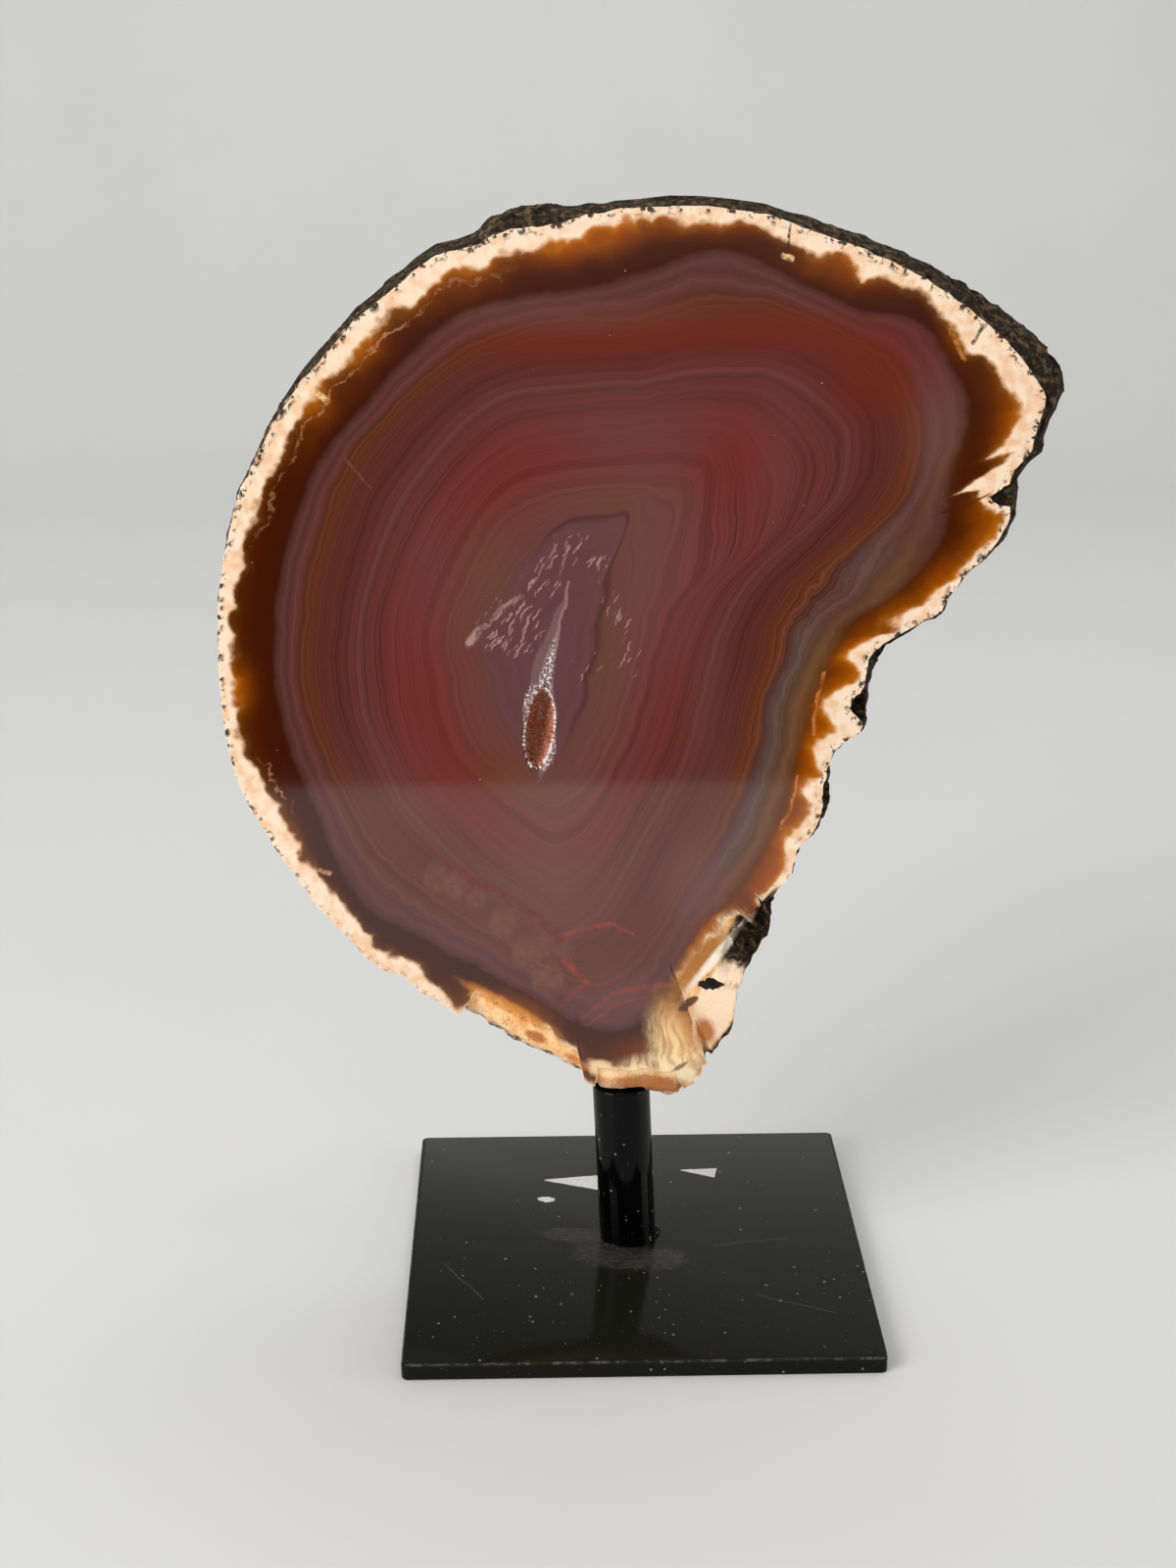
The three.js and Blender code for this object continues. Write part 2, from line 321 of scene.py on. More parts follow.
def use_group(tree, group, *values):
    """Places a shared group, feeds its sockets in order and gives back its mask."""
    node = tree.nodes.new("ShaderNodeGroup")
    node.node_tree = group
    for socket, value in zip(node.inputs, values):
        feed(socket, value)
    return node.outputs["Mask"]


def dust(tree, density, size, grain=0.42):
    """Dust on a surface. The grain is how many specks could lie along a millimetre."""
    return use_group(tree, DUST, density, size, grain)


def patch(place, tear, middle, half_size, turn=0.0, ragged=0.3, soft=0.1, axis=(0, 0, 1)):
    """One ragged mark, turned by degrees about an axis."""
    values = (place, tear, middle, half_size, axis, math.radians(turn), ragged, soft)
    return use_group(place.id_data, PATCH, *values)


def crack(place, corners, width, plane=(1, 0, 1)):
    """A chain of hairlines through a list of corners."""
    lines = [use_group(place.id_data, HAIRLINE, place, start, end, plane, width)
             for start, end in zip(corners, corners[1:])]
    return largest(*lines)


def torn(place, scale=0.8):
    """Noise around 0 that tears the edges of marks."""
    return calc("SUBTRACT", cloud(place, scale, 4.0, 0.6), 0.5)


def swayed(place, scale, reach):
    """The place, pushed to and fro by noise so that lines through it aren't straight."""
    node = new_node("TexNoise", place)
    for name, value in (("Vector", place), ("Scale", scale), ("Detail", 3.0)):
        feed(node.inputs[name], value)
    push = vector_calc("SUBTRACT", node.outputs["Color"], (0.5, 0.5, 0.5))
    return vector_calc("ADD", place, vector_calc("SCALE", push, reach))


print("shared groups:", DUST.name, PATCH.name, HAIRLINE.name)

# %% [markdown]
# ## The stone's shape
# The slice is a flat polished face, a thin rough rind all round, a flat back, and a broken corner. A ball
# with poles has the right build for that: rings round one pole become the polished face, the middle rings
# become the rind, and the rings round the other pole become the back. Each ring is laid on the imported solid
# by casting rays at it, so the outline, the pits and the broken facets come from the frame and no outline
# is repeated here.

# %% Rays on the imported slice
slice_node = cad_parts["agate_slice"]
slice_low, slice_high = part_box("agate_slice")
FACE_Y = slice_low.y
BACK_Y = slice_high.y
packed_slice = BVHTree.FromPolygons(
    [vertex.co.copy() for vertex in slice_node.data.vertices],
    [tuple(face.vertices) for face in slice_node.data.polygons],
)
GROWTH_CENTRE = Vector((-15.0, 0.0, 112.0)) * MM
SEGMENTS = 560
FACE_RINGS = 66
RIM_RINGS = 46
BACK_RINGS = 34
RIM_SAMPLES = 71
FAR = 0.2
angles = np.arange(SEGMENTS) * 2 * np.pi / SEGMENTS
post_low, post_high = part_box("post")
PIN_TOP = post_high.z
SEAT_Z = 34.3 * MM
PIN_X = -2.6 * MM
PIN_REACH = 3.0 * MM


def rim_radius(angle, depth):
    """Distance from the growth centre to the slice's edge, in one direction and at one depth."""
    outward = Vector((math.cos(angle), 0, math.sin(angle)))
    start = Vector((GROWTH_CENTRE.x, depth, GROWTH_CENTRE.z)) + outward * FAR
    spot, _, _, gone = packed_slice.ray_cast(start, -outward)
    in_bore = spot.z > SEAT_Z + MM / 2 and spot.z < PIN_TOP + MM and abs(depth) < PIN_REACH
    if in_bore and abs(spot.x - PIN_X) < PIN_REACH and outward.z < -0.9:
        return (SEAT_Z - GROWTH_CENTRE.z) / outward.z
    return FAR - gone


def spread(radii):
    """The x and z of places at these distances from the growth centre, one for each direction."""
    return GROWTH_CENTRE.x + radii * np.cos(angles), GROWTH_CENTRE.z + radii * np.sin(angles)


sample_depths = np.linspace(FACE_Y + 0.02 * MM, BACK_Y - 0.02 * MM, RIM_SAMPLES)
edge_radii = np.array([[rim_radius(angle, depth) for depth in sample_depths] for angle in angles])
print("edge radius in mm: %.1f to %.1f" % (edge_radii.min() / MM, edge_radii.max() / MM))

# %% [markdown]
# The polished edge is never clean: small chips eat into it all round, and larger ones along the breaks
# below.

# %% Chips of the polished edge
BREAK_TOP = 72 * MM
BREAK_LEFT = -30 * MM
edge_x, edge_z = spread(edge_radii[:, 0])
at_break = np.clip((BREAK_TOP - edge_z) / (6 * MM), 0, 1) * np.clip((edge_x - BREAK_LEFT) / (4 * MM), 0, 1)
chips = np.array([
    abs(noise.noise(Vector((x, 0, z)) / MM * 0.45)) * (0.35 + 1.5 * weight)
    + abs(noise.noise(Vector((x, 9, z)) / MM * 1.3)) * (0.3 + 0.5 * weight)
    for x, z, weight in zip(edge_x, edge_z, at_break)
]) * MM
behind_face = (sample_depths - FACE_Y)[None, :]
edge_radii = edge_radii - chips[:, None] * np.exp(-behind_face / (chips[:, None] + 0.1 * MM))
print("deepest chip in mm: %.2f" % (chips.max() / MM))

# %% [markdown]
# The rind's rings follow each direction's edge profile from the polished face to the back, evenly along its
# length, so a long broken facet gets as fine a mesh as the plain rind beside it.

# %% Rings of the rind
EDGE_STEP = 0.002
rim_shares = np.concatenate(([EDGE_STEP], np.linspace(0.02, 0.98, RIM_RINGS - 2), [1 - EDGE_STEP]))
rim_r = np.zeros((RIM_RINGS, SEGMENTS))
rim_y = np.zeros((RIM_RINGS, SEGMENTS))
for column in range(SEGMENTS):
    steps = np.hypot(np.diff(edge_radii[column]), np.diff(sample_depths))
    along = np.concatenate(([0.0], np.cumsum(steps)))
    rim_r[:, column] = np.interp(rim_shares * along[-1], along, edge_radii[column])
    rim_y[:, column] = np.interp(rim_shares * along[-1], along, sample_depths)

face_shares = (np.arange(1, FACE_RINGS + 1) / FACE_RINGS) ** 0.85
back_shares = ((BACK_RINGS - np.arange(BACK_RINGS)) / BACK_RINGS) ** 0.85
ring_r = np.concatenate((face_shares[:, None] * edge_radii[None, :, 0], rim_r,
                         back_shares[:, None] * edge_radii[None, :, -1]))
ring_y = np.concatenate((np.full((FACE_RINGS, SEGMENTS), FACE_Y), rim_y,
                         np.full((BACK_RINGS, SEGMENTS), BACK_Y)))
ring_x, ring_z = spread(ring_r)
RING_COUNT = len(ring_r)
FACE = slice(0, FACE_RINGS)
RIM = slice(FACE_RINGS, FACE_RINGS + RIM_RINGS)
BACK = slice(FACE_RINGS + RIM_RINGS, RING_COUNT)
print("rings:", RING_COUNT, "points:", RING_COUNT * SEGMENTS + 2)

# %% [markdown]
# The pocket in the middle is a real hollow: where a ray from the front passes the face, the point drops to
# the pocket's wall.

# %% Pocket in the face
crust_low, crust_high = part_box("vug_crystals")
POCKET_REACH = 0.6 * MM
near_pocket = ((ring_x > crust_low.x - POCKET_REACH) & (ring_x < crust_high.x + POCKET_REACH)
               & (ring_z > crust_low.z - POCKET_REACH) & (ring_z < crust_high.z + POCKET_REACH))
near_pocket[FACE_RINGS:] = False
for ring, column in np.argwhere(near_pocket):
    start = Vector((ring_x[ring, column], FACE_Y - 10 * MM, ring_z[ring, column]))
    spot = packed_slice.ray_cast(start, Vector((0, 1, 0)))[0]
    ring_y[ring, column] = spot.y
print("points in the pocket:", int((ring_y[FACE] > FACE_Y + 0.05 * MM).sum()))

# %% [markdown]
# The rind is weathered and pitted, and the broken facets carry the low shells of a fracture. Both are sunk
# into the surface along its normal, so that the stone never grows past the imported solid. A dark patch of
# rind is left inside the broken corner, and a long notch above it is sunk into the polished face.

# %% Roughness of the rind and the breaks
DARK_PATCH = (19.6, 63.4)
DARK_PATCH_HALF = (8.8, 3.8)
DARK_PATCH_TURN = math.radians(64)
NOTCH = (22.9, 67.4)
NOTCH_HALF = (5.6, 2.3)
NOTCH_TURN = math.radians(56)
NOTCH_DEPTH = 1.5 * MM


def oval_gap(middle, half_sizes, turn):
    """How many times its own reach every point is away from a turned oval's middle, seen from the front."""
    x = ring_x / MM - middle[0]
    z = ring_z / MM - middle[1]
    along = x * math.cos(turn) + z * math.sin(turn)
    across = z * math.cos(turn) - x * math.sin(turn)
    return np.hypot(along / half_sizes[0], across / half_sizes[1])


set_back = (edge_radii.max(axis=1)[None, :] - ring_r) / MM
broken = np.clip((set_back - 0.9) / 0.8, 0, 1) * (ring_z < BREAK_TOP)
in_patch = np.clip((1.15 - oval_gap(DARK_PATCH, DARK_PATCH_HALF, DARK_PATCH_TURN)) / 0.3, 0, 1)
for values in (broken, in_patch):
    values[FACE] = 0
    values[BACK] = 0
broken *= 1 - in_patch
notch = np.clip((1.2 - oval_gap(NOTCH, NOTCH_HALF, NOTCH_TURN)) / 0.35, 0, 1)
notch[FACE_RINGS:] = 0
ring_y += notch * NOTCH_DEPTH

points = np.stack((ring_x, ring_y, ring_z), axis=-1)
across = np.roll(points, -1, axis=1) - np.roll(points, 1, axis=1)
through = np.gradient(points, axis=0)
normals = np.cross(across, through)
normals /= np.maximum(np.linalg.norm(normals, axis=-1, keepdims=True), 1e-12)
outward_check = normals[RIM, :, 0] * np.cos(angles) + normals[RIM, :, 2] * np.sin(angles)
normals *= np.sign(outward_check.mean())


def rind_depth(place):
    """How deep the weathered rind is sunk at a place, in mm."""
    swell = noise.fractal(place * 0.35, 0.9, 2.1, 4)
    pit = noise.voronoi(place * 0.55)[0][0]
    fine = noise.noise(place * 2.3)
    return 0.3 + 0.3 * swell + 0.75 * max(0.0, 1 - pit / 0.5) + 0.12 * fine


def shell_depth(place):
    """How deep the low shells of a fracture are sunk, in mm."""
    ripple = noise.noise(place * 0.28)
    fine = noise.noise(place * 1.1)
    return 0.22 + 0.3 * abs(ripple) + 0.08 * fine


sunk = np.zeros_like(ring_r)
for ring in range(FACE_RINGS + 1, FACE_RINGS + RIM_RINGS - 1):
    fade = min(1.0, (ring - FACE_RINGS) / 3, (FACE_RINGS + RIM_RINGS - 1 - ring) / 3)
    for column in range(SEGMENTS):
        place = Vector(points[ring, column]) / MM
        wear = broken[ring, column]
        depth = (1 - wear) * rind_depth(place) * (1 + in_patch[ring, column]) + wear * shell_depth(place)
        sunk[ring, column] = max(0.0, depth) * fade
points -= normals * (sunk * MM)[..., None]
print("deepest pit in mm: %.2f" % sunk.max())

# %% [markdown]
# ## Growth lines
# Agate grows inwards from its rind, layer on layer, so every line keeps roughly the shape of the one
# outside it. Five lines that stand out on the face are given by a few points each, in millimetres. Between
# them a value runs from 0 at the rind to 1 at the quartz in the middle, and the colours and the fine bands
# follow that value.

# %% Lines that stand out on the face
LAVENDER_LINE = [
    (-57.8, 110), (-57.3, 118), (-56, 127), (-54.5, 133), (-52.5, 138), (-50.5, 143), (-47, 148),
    (-42, 153), (-39, 157), (-34, 162), (-30, 165.5), (-25, 168), (-20, 169), (-10, 170.5), (0, 172.5),
    (5, 175), (10, 177), (15, 176.5), (20, 173.5), (25, 171.5), (30, 169), (35, 166.5), (41, 167),
    (44, 166), (46, 162.5), (49, 157), (51.5, 152), (49.5, 146), (48, 141), (48, 138), (49, 134.5),
    (45, 127.5), (40, 122), (33, 119), (29, 110), (27, 105), (26, 100), (25, 95), (23.5, 90), (22, 84),
    (18, 76), (15.5, 72), (10, 66), (8, 62), (6, 57), (4.5, 54), (0, 48.5), (-4, 46.5), (-9, 48),
    (-15, 52), (-20, 55), (-25, 58.5), (-30, 61), (-35, 64.5), (-40, 67), (-45, 70), (-48, 75), (-50, 80),
    (-51.5, 86), (-54, 92), (-56, 98), (-57.5, 105),
]
ORANGE_LINE = [
    (-53.5, 110), (-52, 120), (-49.5, 133), (-47, 140), (-44, 146), (-40, 150), (-35, 155), (-30, 159.5),
    (-25, 162.5), (-20, 164), (-15, 165.5), (0, 165.5), (5, 167.5), (10, 169), (20, 168.5), (28, 165.5),
    (36, 161), (41, 155), (43, 149), (42, 142), (41, 137), (36, 132.5), (31, 130), (27, 126), (22, 118),
    (19, 105), (16, 92), (11, 82), (7, 74), (2, 64), (-3, 58), (-8, 56), (-14, 59), (-22, 65), (-31, 71),
    (-38, 76), (-43, 82), (-46.5, 89), (-50, 97), (-52.5, 104),
]
PALE_LINE = [
    (-44.5, 110), (-44, 118), (-42, 127), (-40, 132), (-37, 138), (-33, 144), (-28, 149.5), (-23, 153.5),
    (-20, 155), (-10, 156), (0, 156.5), (10, 158.5), (20, 158.5), (25, 156), (30, 152), (32.5, 149),
    (31.5, 140), (31, 137), (27, 134), (22, 130.5), (18, 127), (14, 121), (12, 116), (10.5, 110), (9, 103),
    (7.5, 97), (5, 91), (1.5, 85), (-1, 80), (-3.5, 75), (-6, 70), (-13, 64), (-20, 70), (-29, 77.5),
    (-33, 82), (-38, 88), (-41, 95), (-43.5, 102),
]
OLIVE_LINE = [
    (-30, 110), (-28, 125), (-25, 131), (-22, 136), (-18, 139), (-10, 140.5), (0, 141), (8, 140.5),
    (7, 135), (4, 128), (1.5, 120), (-0.5, 112), (-2.5, 104), (-5, 97), (-8, 91), (-14, 87), (-21, 92),
    (-27, 98), (-29.5, 104),
]
QUARTZ_LINE = [
    (-23.5, 110), (-25.5, 118), (-21, 123), (-16, 130), (-11, 134.7), (-5, 135.2), (-0.5, 136.5),
    (-4, 130), (-6.5, 125), (-8.5, 117), (-10, 110), (-11, 103), (-13, 97), (-15, 91), (-18, 96),
    (-21, 101), (-23, 107),
]
BAND_LINES = [(1.0, QUARTZ_LINE), (0.85, OLIVE_LINE), (0.62, PALE_LINE), (0.42, ORANGE_LINE),
              (0.30, LAVENDER_LINE)]
BAND_AT_CENTRE = 1.15
BAND_AT_RIND = 0.0


def soften(values, reach):
    """A circular running mean that rounds off the corners of a given line."""
    kernel = np.hanning(2 * reach + 3)[1:-1]
    kernel /= kernel.sum()
    padded = np.concatenate((values[-reach:], values, values[:reach]))
    return np.convolve(padded, kernel, mode="valid")


def line_radius(line):
    """Distance of a growth line from the growth centre, in each direction, in metres."""
    spots = np.array(line) * MM - np.array((GROWTH_CENTRE.x, GROWTH_CENTRE.z))
    turn = np.arctan2(spots[:, 1], spots[:, 0]) % (2 * np.pi)
    order = np.argsort(turn)
    reach = np.hypot(spots[:, 0], spots[:, 1])[order]
    return soften(np.interp(angles, turn[order], reach, period=2 * np.pi), 6)


def band_values(radii, edge):
    """The growth value at each point of a set of rings, whose outer edge is given."""
    lines = [np.zeros(SEGMENTS), *(line_radius(line) for _, line in BAND_LINES), soften(edge, 5)]
    marks = [BAND_AT_CENTRE, *(value for value, _ in BAND_LINES), BAND_AT_RIND]
    stack = np.maximum.accumulate(np.array(lines) + np.arange(len(lines))[:, None] * 0.2 * MM)
    return np.array([np.interp(radii[:, column], stack[:, column], marks)
                     for column in range(SEGMENTS)]).T


band = np.zeros_like(ring_r)
band[FACE] = band_values(ring_r[FACE], edge_radii[:, 0])
band[BACK] = band_values(ring_r[BACK], edge_radii[:, -1])
print("growth value runs to %.2f" % band.max())

# %% [markdown]
# ## Where the stone changes colour
# Other values are stored on the points too: how far a point is from the edge, how wide the cream layer is
# there, and how freely its edge swings out in lobes.

# %% Distance to the edge, width of the cream layer
CREAM_WIDTH = [
    (64, 1.7), (74, 1.6), (84, 1.9), (95, 2.9), (103, 2.8), (116, 2.6), (129, 2.4), (140, 2.2), (151, 2.0),
    (165, 2.0), (180, 2.0), (195, 2.0), (203, 3.4), (210, 3.6), (218, 2.8), (233, 2.6), (246, 2.4),
    (253, 1.5), (256, 0.1), (270, 0.0), (277, 0.0), (281, 0.2), (290, 0.1), (300, 0.1), (308, 0.2),
    (313, 0.8), (316, 1.0),
]
CREAM_TEETH_AND_BAYS = [
    (21.4, 180.3), (25.3, 178.4), (27.7, 176.8), (31.8, 177.6), (34.9, 173.0), (37.3, 174.2),
    (40.6, 172.2), (43.9, 171.6), (48.8, 166.6), (51.7, 161.7), (55.0, 161.2), (57.8, 156.8),
    (60.8, 151.7), (61.7, 146.6), (55.4, 144.4), (54.9, 140.4), (51.0, 139.2), (55.0, 138.2),
    (58.8, 135.4), (56.0, 130.6), (51.6, 125.4), (49.4, 124.1), (44.6, 116.9), (41.7, 118.9),
    (38.5, 115.6), (33.9, 112.4), (36.8, 109.8), (30.2, 103.9), (32.8, 99.5), (29.0, 96.5), (31.0, 92.0),
    (27.7, 89.5), (29.0, 86.6), (24.6, 80.4), (26.2, 75.7),
]
FREE_LOBES = [(0, 0.35), (55, 0.35), (68, 1.0), (250, 1.0), (258, 0.1), (290, 0.1), (300, 0.6), (324, 0.35)]
face_edge_x, face_edge_z = spread(edge_radii[:, 0])
cream_places = list(CREAM_WIDTH)
for x, z in CREAM_TEETH_AND_BAYS:
    turn_at = math.degrees(math.atan2(z * MM - GROWTH_CENTRE.z, x * MM - GROWTH_CENTRE.x)) % 360
    width_at = np.hypot(face_edge_x - x * MM, face_edge_z - z * MM).min() / MM
    cream_places.append((turn_at, width_at))


def by_turn(pairs):
    """A value for every point, from pairs of a direction in degrees and a value."""
    turns, values = np.array(sorted(pairs)).T
    return np.broadcast_to(np.interp(np.degrees(angles), turns, values, period=360), ring_r.shape).copy()


cream = by_turn(cream_places)
scallop = by_turn(FREE_LOBES)


def edge_distance(rings, edge):
    """Distance in mm from each point of the rings to the nearest point of their outer edge."""
    rim_x, rim_z = spread(edge)
    return np.array([
        np.hypot(ring_x[ring][:, None] - rim_x, ring_z[ring][:, None] - rim_z).min(axis=1) / MM
        for ring in range(rings.start, rings.stop)
    ])


edge_mm = np.zeros_like(ring_r)
edge_mm[FACE] = edge_distance(FACE, edge_radii[:, 0])
edge_mm[BACK] = edge_distance(BACK, edge_radii[:, -1])
print("widest way in from the edge in mm: %.1f" % edge_mm.max())

# %% [markdown]
# The bands are coloured unevenly, so soft spots of colour lie over them: red, amber, olive, lavender and the
# clear stone on the right with its grey and orange bands. Others say where fine lines, healed flakes, seams
# and a white edge show. A spot is its middle and half sizes in millimetres and its strength. How dark the
# rind is goes by its direction from the middle.

# %% Soft spots of colour
SOFT_SPOTS = {
    "red": [
        (-34, 106, 7, 18, 0.8), (38, 158, 10, 8, 1.0), (14, 165, 24, 4, 1.0), (-14, 163, 14, 3, 0.8),
        (16, 146, 9, 8, 1.0), (-14, 147, 9, 5, 0.6), (-26, 92, 9, 7, 0.7), (6, 104, 5, 16, 0.3),
        (-6, 66, 8, 5, 0.4), (-22, 139, 8, 7, 0.6),
    ],
    "amber": [
        (34, 109, 5, 6, 1.0), (31, 99, 5, 6, 1.0), (29, 91, 4, 5, 0.9), (26, 82, 4, 6, 0.8),
        (22, 75, 6, 6, 1.0), (57, 133, 5, 5, 1.0), (50, 124, 7, 5, 1.0), (60, 150, 4, 6, 0.9),
        (50, 165, 3, 4, 0.4), (34, 176, 7, 3, 0.5), (10, 183, 12, 3, 0.7), (-5, 181, 5, 4, 1.0),
        (-12, 179, 5, 4, 1.0), (-28, 176, 7, 3, 0.8), (-43, 163, 4, 4, 0.8), (-51, 155, 3, 4, 0.6),
        (-65, 108, 2.5, 4, 0.8), (-61, 80, 4, 6, 0.4), (13, 63, 6, 6, 0.9), (-22, 49, 7, 4, 0.7),
        (4, 44, 7, 5, 0.7), (42, 119, 4, 3, 0.6), (37, 114, 3, 3, 0.8), (-32, 171, 10, 4, 0.35),
        (55, 157, 4, 7, 0.15), (30, 174, 9, 4, 0.3), (-48, 150, 6, 8, 0.25),
    ],
    "olive": [
        (-25, 127, 4, 8, 0.7), (-5, 112, 3, 16, 0.7), (-16, 90, 5, 4, 0.9), (-22, 93, 5, 4, 0.7),
        (-2, 139, 9, 3, 0.6),
    ],
    "clear": [
        (46, 146, 6, 9, 0.7), (38, 128, 8, 9, 0.9), (28, 112, 7, 10, 1.0), (23, 98, 6, 10, 1.0),
        (19, 84, 6, 9, 0.9), (14, 74, 6, 7, 0.6),
    ],
    "lavender": [
        (-18, 66, 20, 10, 0.6), (-40, 90, 10, 12, 0.5), (48, 152, 5, 8, 0.9), (2, 126, 7, 16, 0.7),
        (-12, 168, 16, 2.5, 0.7), (-3, 52, 8, 6, 1.0), (9, 74, 6, 9, 0.9), (-2, 150, 16, 6, 0.7),
        (22, 145, 5, 10, 0.5), (12, 100, 4, 18, 0.4), (-14, 76, 12, 9, 0.6), (-34, 124, 5, 14, 0.4),
        (47, 143, 3, 10, 0.4),
    ],
    "lined": [
        (16, 112, 9, 26, 1.0), (28, 140, 8, 14, 0.9), (-44, 92, 9, 20, 0.8), (-45, 118, 7, 18, 0.7),
        (4, 80, 9, 14, 0.8), (-10, 156, 20, 5, 0.6), (30, 122, 8, 8, 0.7), (-34, 140, 8, 8, 0.6),
    ],
    "flake": [
        (-25, 117.5, 3.2, 2.8, 0.9), (-20.5, 121.5, 3.8, 3.2, 1.0), (-15.5, 126.5, 3.8, 3.6, 1.0),
        (-11, 130.5, 3.8, 3.2, 1.0), (-6.5, 128.5, 3.2, 3.0, 0.8), (-18.5, 118, 3.6, 3.0, 0.9),
        (-4.2, 122, 2.4, 4, 0.75), (-2.5, 116, 3.0, 4.5, 0.75), (-8, 111, 3.0, 3.5, 0.75),
        (-1.2, 111, 2.2, 3.0, 0.8), (-21, 114, 3.8, 2.8, 0.8), (-15, 121, 3.0, 3.0, 0.7),
    ],
    "seam": [
        (-48, 153, 7, 8, 1.0), (-38, 164, 7, 6, 1.0), (-27, 171, 8, 4, 0.8), (-58, 140, 5, 9, 0.5),
        (-60, 91, 3, 5, 1.0),
    ],
    "white_edge": [
        (23, 71, 4, 4, 1.0), (17, 65, 4, 4, 0.4), (9, 54, 5, 4, 0.15),
    ],
}
GHOST_SPOTS = [
    (-33.7, 74.8, 2.2, 2.6, 0.7), (-30.6, 73.4, 2.2, 2.4, 1), (-27.3, 70.9, 1.8, 1.8, 0.7),
    (-22.8, 66.3, 2.4, 2.6, 0.8), (-18.7, 60.9, 2.6, 2.6, 1), (-15.3, 56, 2.8, 2.8, 1),
    (-16, 62.2, 2.0, 2.2, 0.7), (-12.4, 61.4, 1.8, 2.0, 0.6),
]


def spots_at(spots, hard=False):
    """Sum of soft spots at every point, or of round spots with a firm edge."""
    total = np.zeros_like(ring_r)
    for x, z, half_x, half_z, strength in spots:
        away = np.hypot((ring_x / MM - x) / half_x, (ring_z / MM - z) / half_z)
        shape = np.clip((1.15 - away) / 0.3, 0, 1) if hard else np.exp(-away ** 2)
        total = np.maximum(total, strength * shape) if hard else total + strength * shape
    return np.clip(total, 0, 1)


rind = np.zeros_like(ring_r)
rind[RIM] = 1.0
rind = np.maximum(rind, notch)
# The rind is darker on the top and right, and towards the back of the slice.
DARK_RIND = [
    (350, 0.8), (20, 1.0), (60, 1.0), (85, 0.9), (100, 0.8), (112, 0.55), (150, 0.35), (200, 0.2),
    (240, 0.2), (270, 0.15), (290, 0.3), (303, 0.8), (320, 0.7),
]
through_share = np.clip((ring_y - FACE_Y) / (BACK_Y - FACE_Y), 0, 1)
dark = np.clip(by_turn(DARK_RIND) + 0.9 * through_share + in_patch + notch, 0, 1)
face_values = {
    "band": band, "edge": edge_mm, "cream": cream, "rind": rind, "broken": broken, "dark": dark,
    "scallop": scallop, "ghost": spots_at(GHOST_SPOTS, hard=True),
}
for name, spots in SOFT_SPOTS.items():
    face_values[name] = spots_at(spots)
print("values stored on the stone:", ", ".join(face_values))

# %% [markdown]
# Now the ball is added and its points are moved onto the rings. Its top pole is the middle of the polished
# face.

# %% Mesh of the slice
agate = added("agate_stone", bpy.ops.mesh.primitive_uv_sphere_add, segments=SEGMENTS,
              ring_count=RING_COUNT + 1, radius=1)
ball = np.empty(len(agate.data.vertices) * 3)
agate.data.vertices.foreach_get("co", ball)
ball = ball.reshape(-1, 3)
tilt = np.arccos(np.clip(ball[:, 2], -1, 1))
ring_of = np.rint(tilt / np.pi * (RING_COUNT + 1)).astype(int) - 1
column_of = np.rint(np.arctan2(ball[:, 1], ball[:, 0]) / (2 * np.pi) * SEGMENTS).astype(int) % SEGMENTS
front_pole = ring_of < 0
back_pole = ring_of >= RING_COUNT
safe_ring = np.clip(ring_of, 0, RING_COUNT - 1)
laid = points[safe_ring, column_of]
laid[front_pole] = (GROWTH_CENTRE.x, FACE_Y, GROWTH_CENTRE.z)
laid[back_pole] = (GROWTH_CENTRE.x, BACK_Y, GROWTH_CENTRE.z)
agate.data.vertices.foreach_set("co", laid.ravel())
for name, values in face_values.items():
    stored = agate.data.attributes.new(name, "FLOAT", "POINT")
    stored.data.foreach_set("value", values[safe_ring, column_of].astype(np.float32))
agate.data.update()
bpy.ops.object.shade_smooth_by_angle(angle=math.radians(24))
print("stone:", len(agate.data.vertices), "points,", len(agate.data.polygons), "faces")

# %% [markdown]
# ## The stone's finish
# The recipe goes from the bands outwards: growth colours, fine lines, soft spots, then the brown layer with
# its amber colour and painted amber glow, the scalloped cream layer, the rind and the breaks. Most of it
# reads the values stored above. The broken facets get a painted glow: they emit a weak light in their own
# colour, standing in for daylight that passes through the thin stone.

# %% Colours of the stone
CREAM = pigment(246, 220, 192)
PEACH = pigment(238, 192, 152)
GOLD = pigment(196, 118, 26)
AMBER = pigment(156, 76, 3)
TAN = pigment(104, 62, 20)
RED = pigment(110, 33, 18)
OLIVE = pigment(102, 66, 42)
LAVENDER = pigment(110, 70, 68)
GHOST = pigment(140, 90, 68)
RIND_DARK = pigment(31, 22, 13)
RIND_PALE = pigment(106, 86, 60)
FLECK = pigment(172, 134, 127)
WEDGE_GREY = pigment(120, 92, 90)
# White of the pocket's crystal crust, painted as specks that also stand in for glints.
WHITE_CRUST_AND_GLINTS = pigment(240, 232, 228)
# Strength of the painted glow that the broken facets emit.
BREAK_PAINTED_GLOW = 0.22
BAND_SPAN = 1.2
GROWTH_COLOURS = [
    (0.00, (98, 46, 6)), (0.12, (76, 28, 4)), (0.20, (62, 20, 4)), (0.285, (60, 19, 5)),
    (0.305, (78, 42, 38)), (0.34, (90, 50, 47)), (0.385, (88, 47, 40)), (0.41, (92, 47, 28)),
    (0.43, (92, 46, 27)), (0.46, (86, 42, 32)), (0.52, (84, 41, 34)), (0.585, (88, 44, 38)),
    (0.62, (98, 54, 48)), (0.65, (90, 44, 38)), (0.72, (102, 47, 42)), (0.80, (104, 50, 46)),
    (0.86, (104, 62, 54)), (0.97, (102, 63, 56)), (1.0, (97, 62, 62)), (1.12, (97, 62, 66)),
]
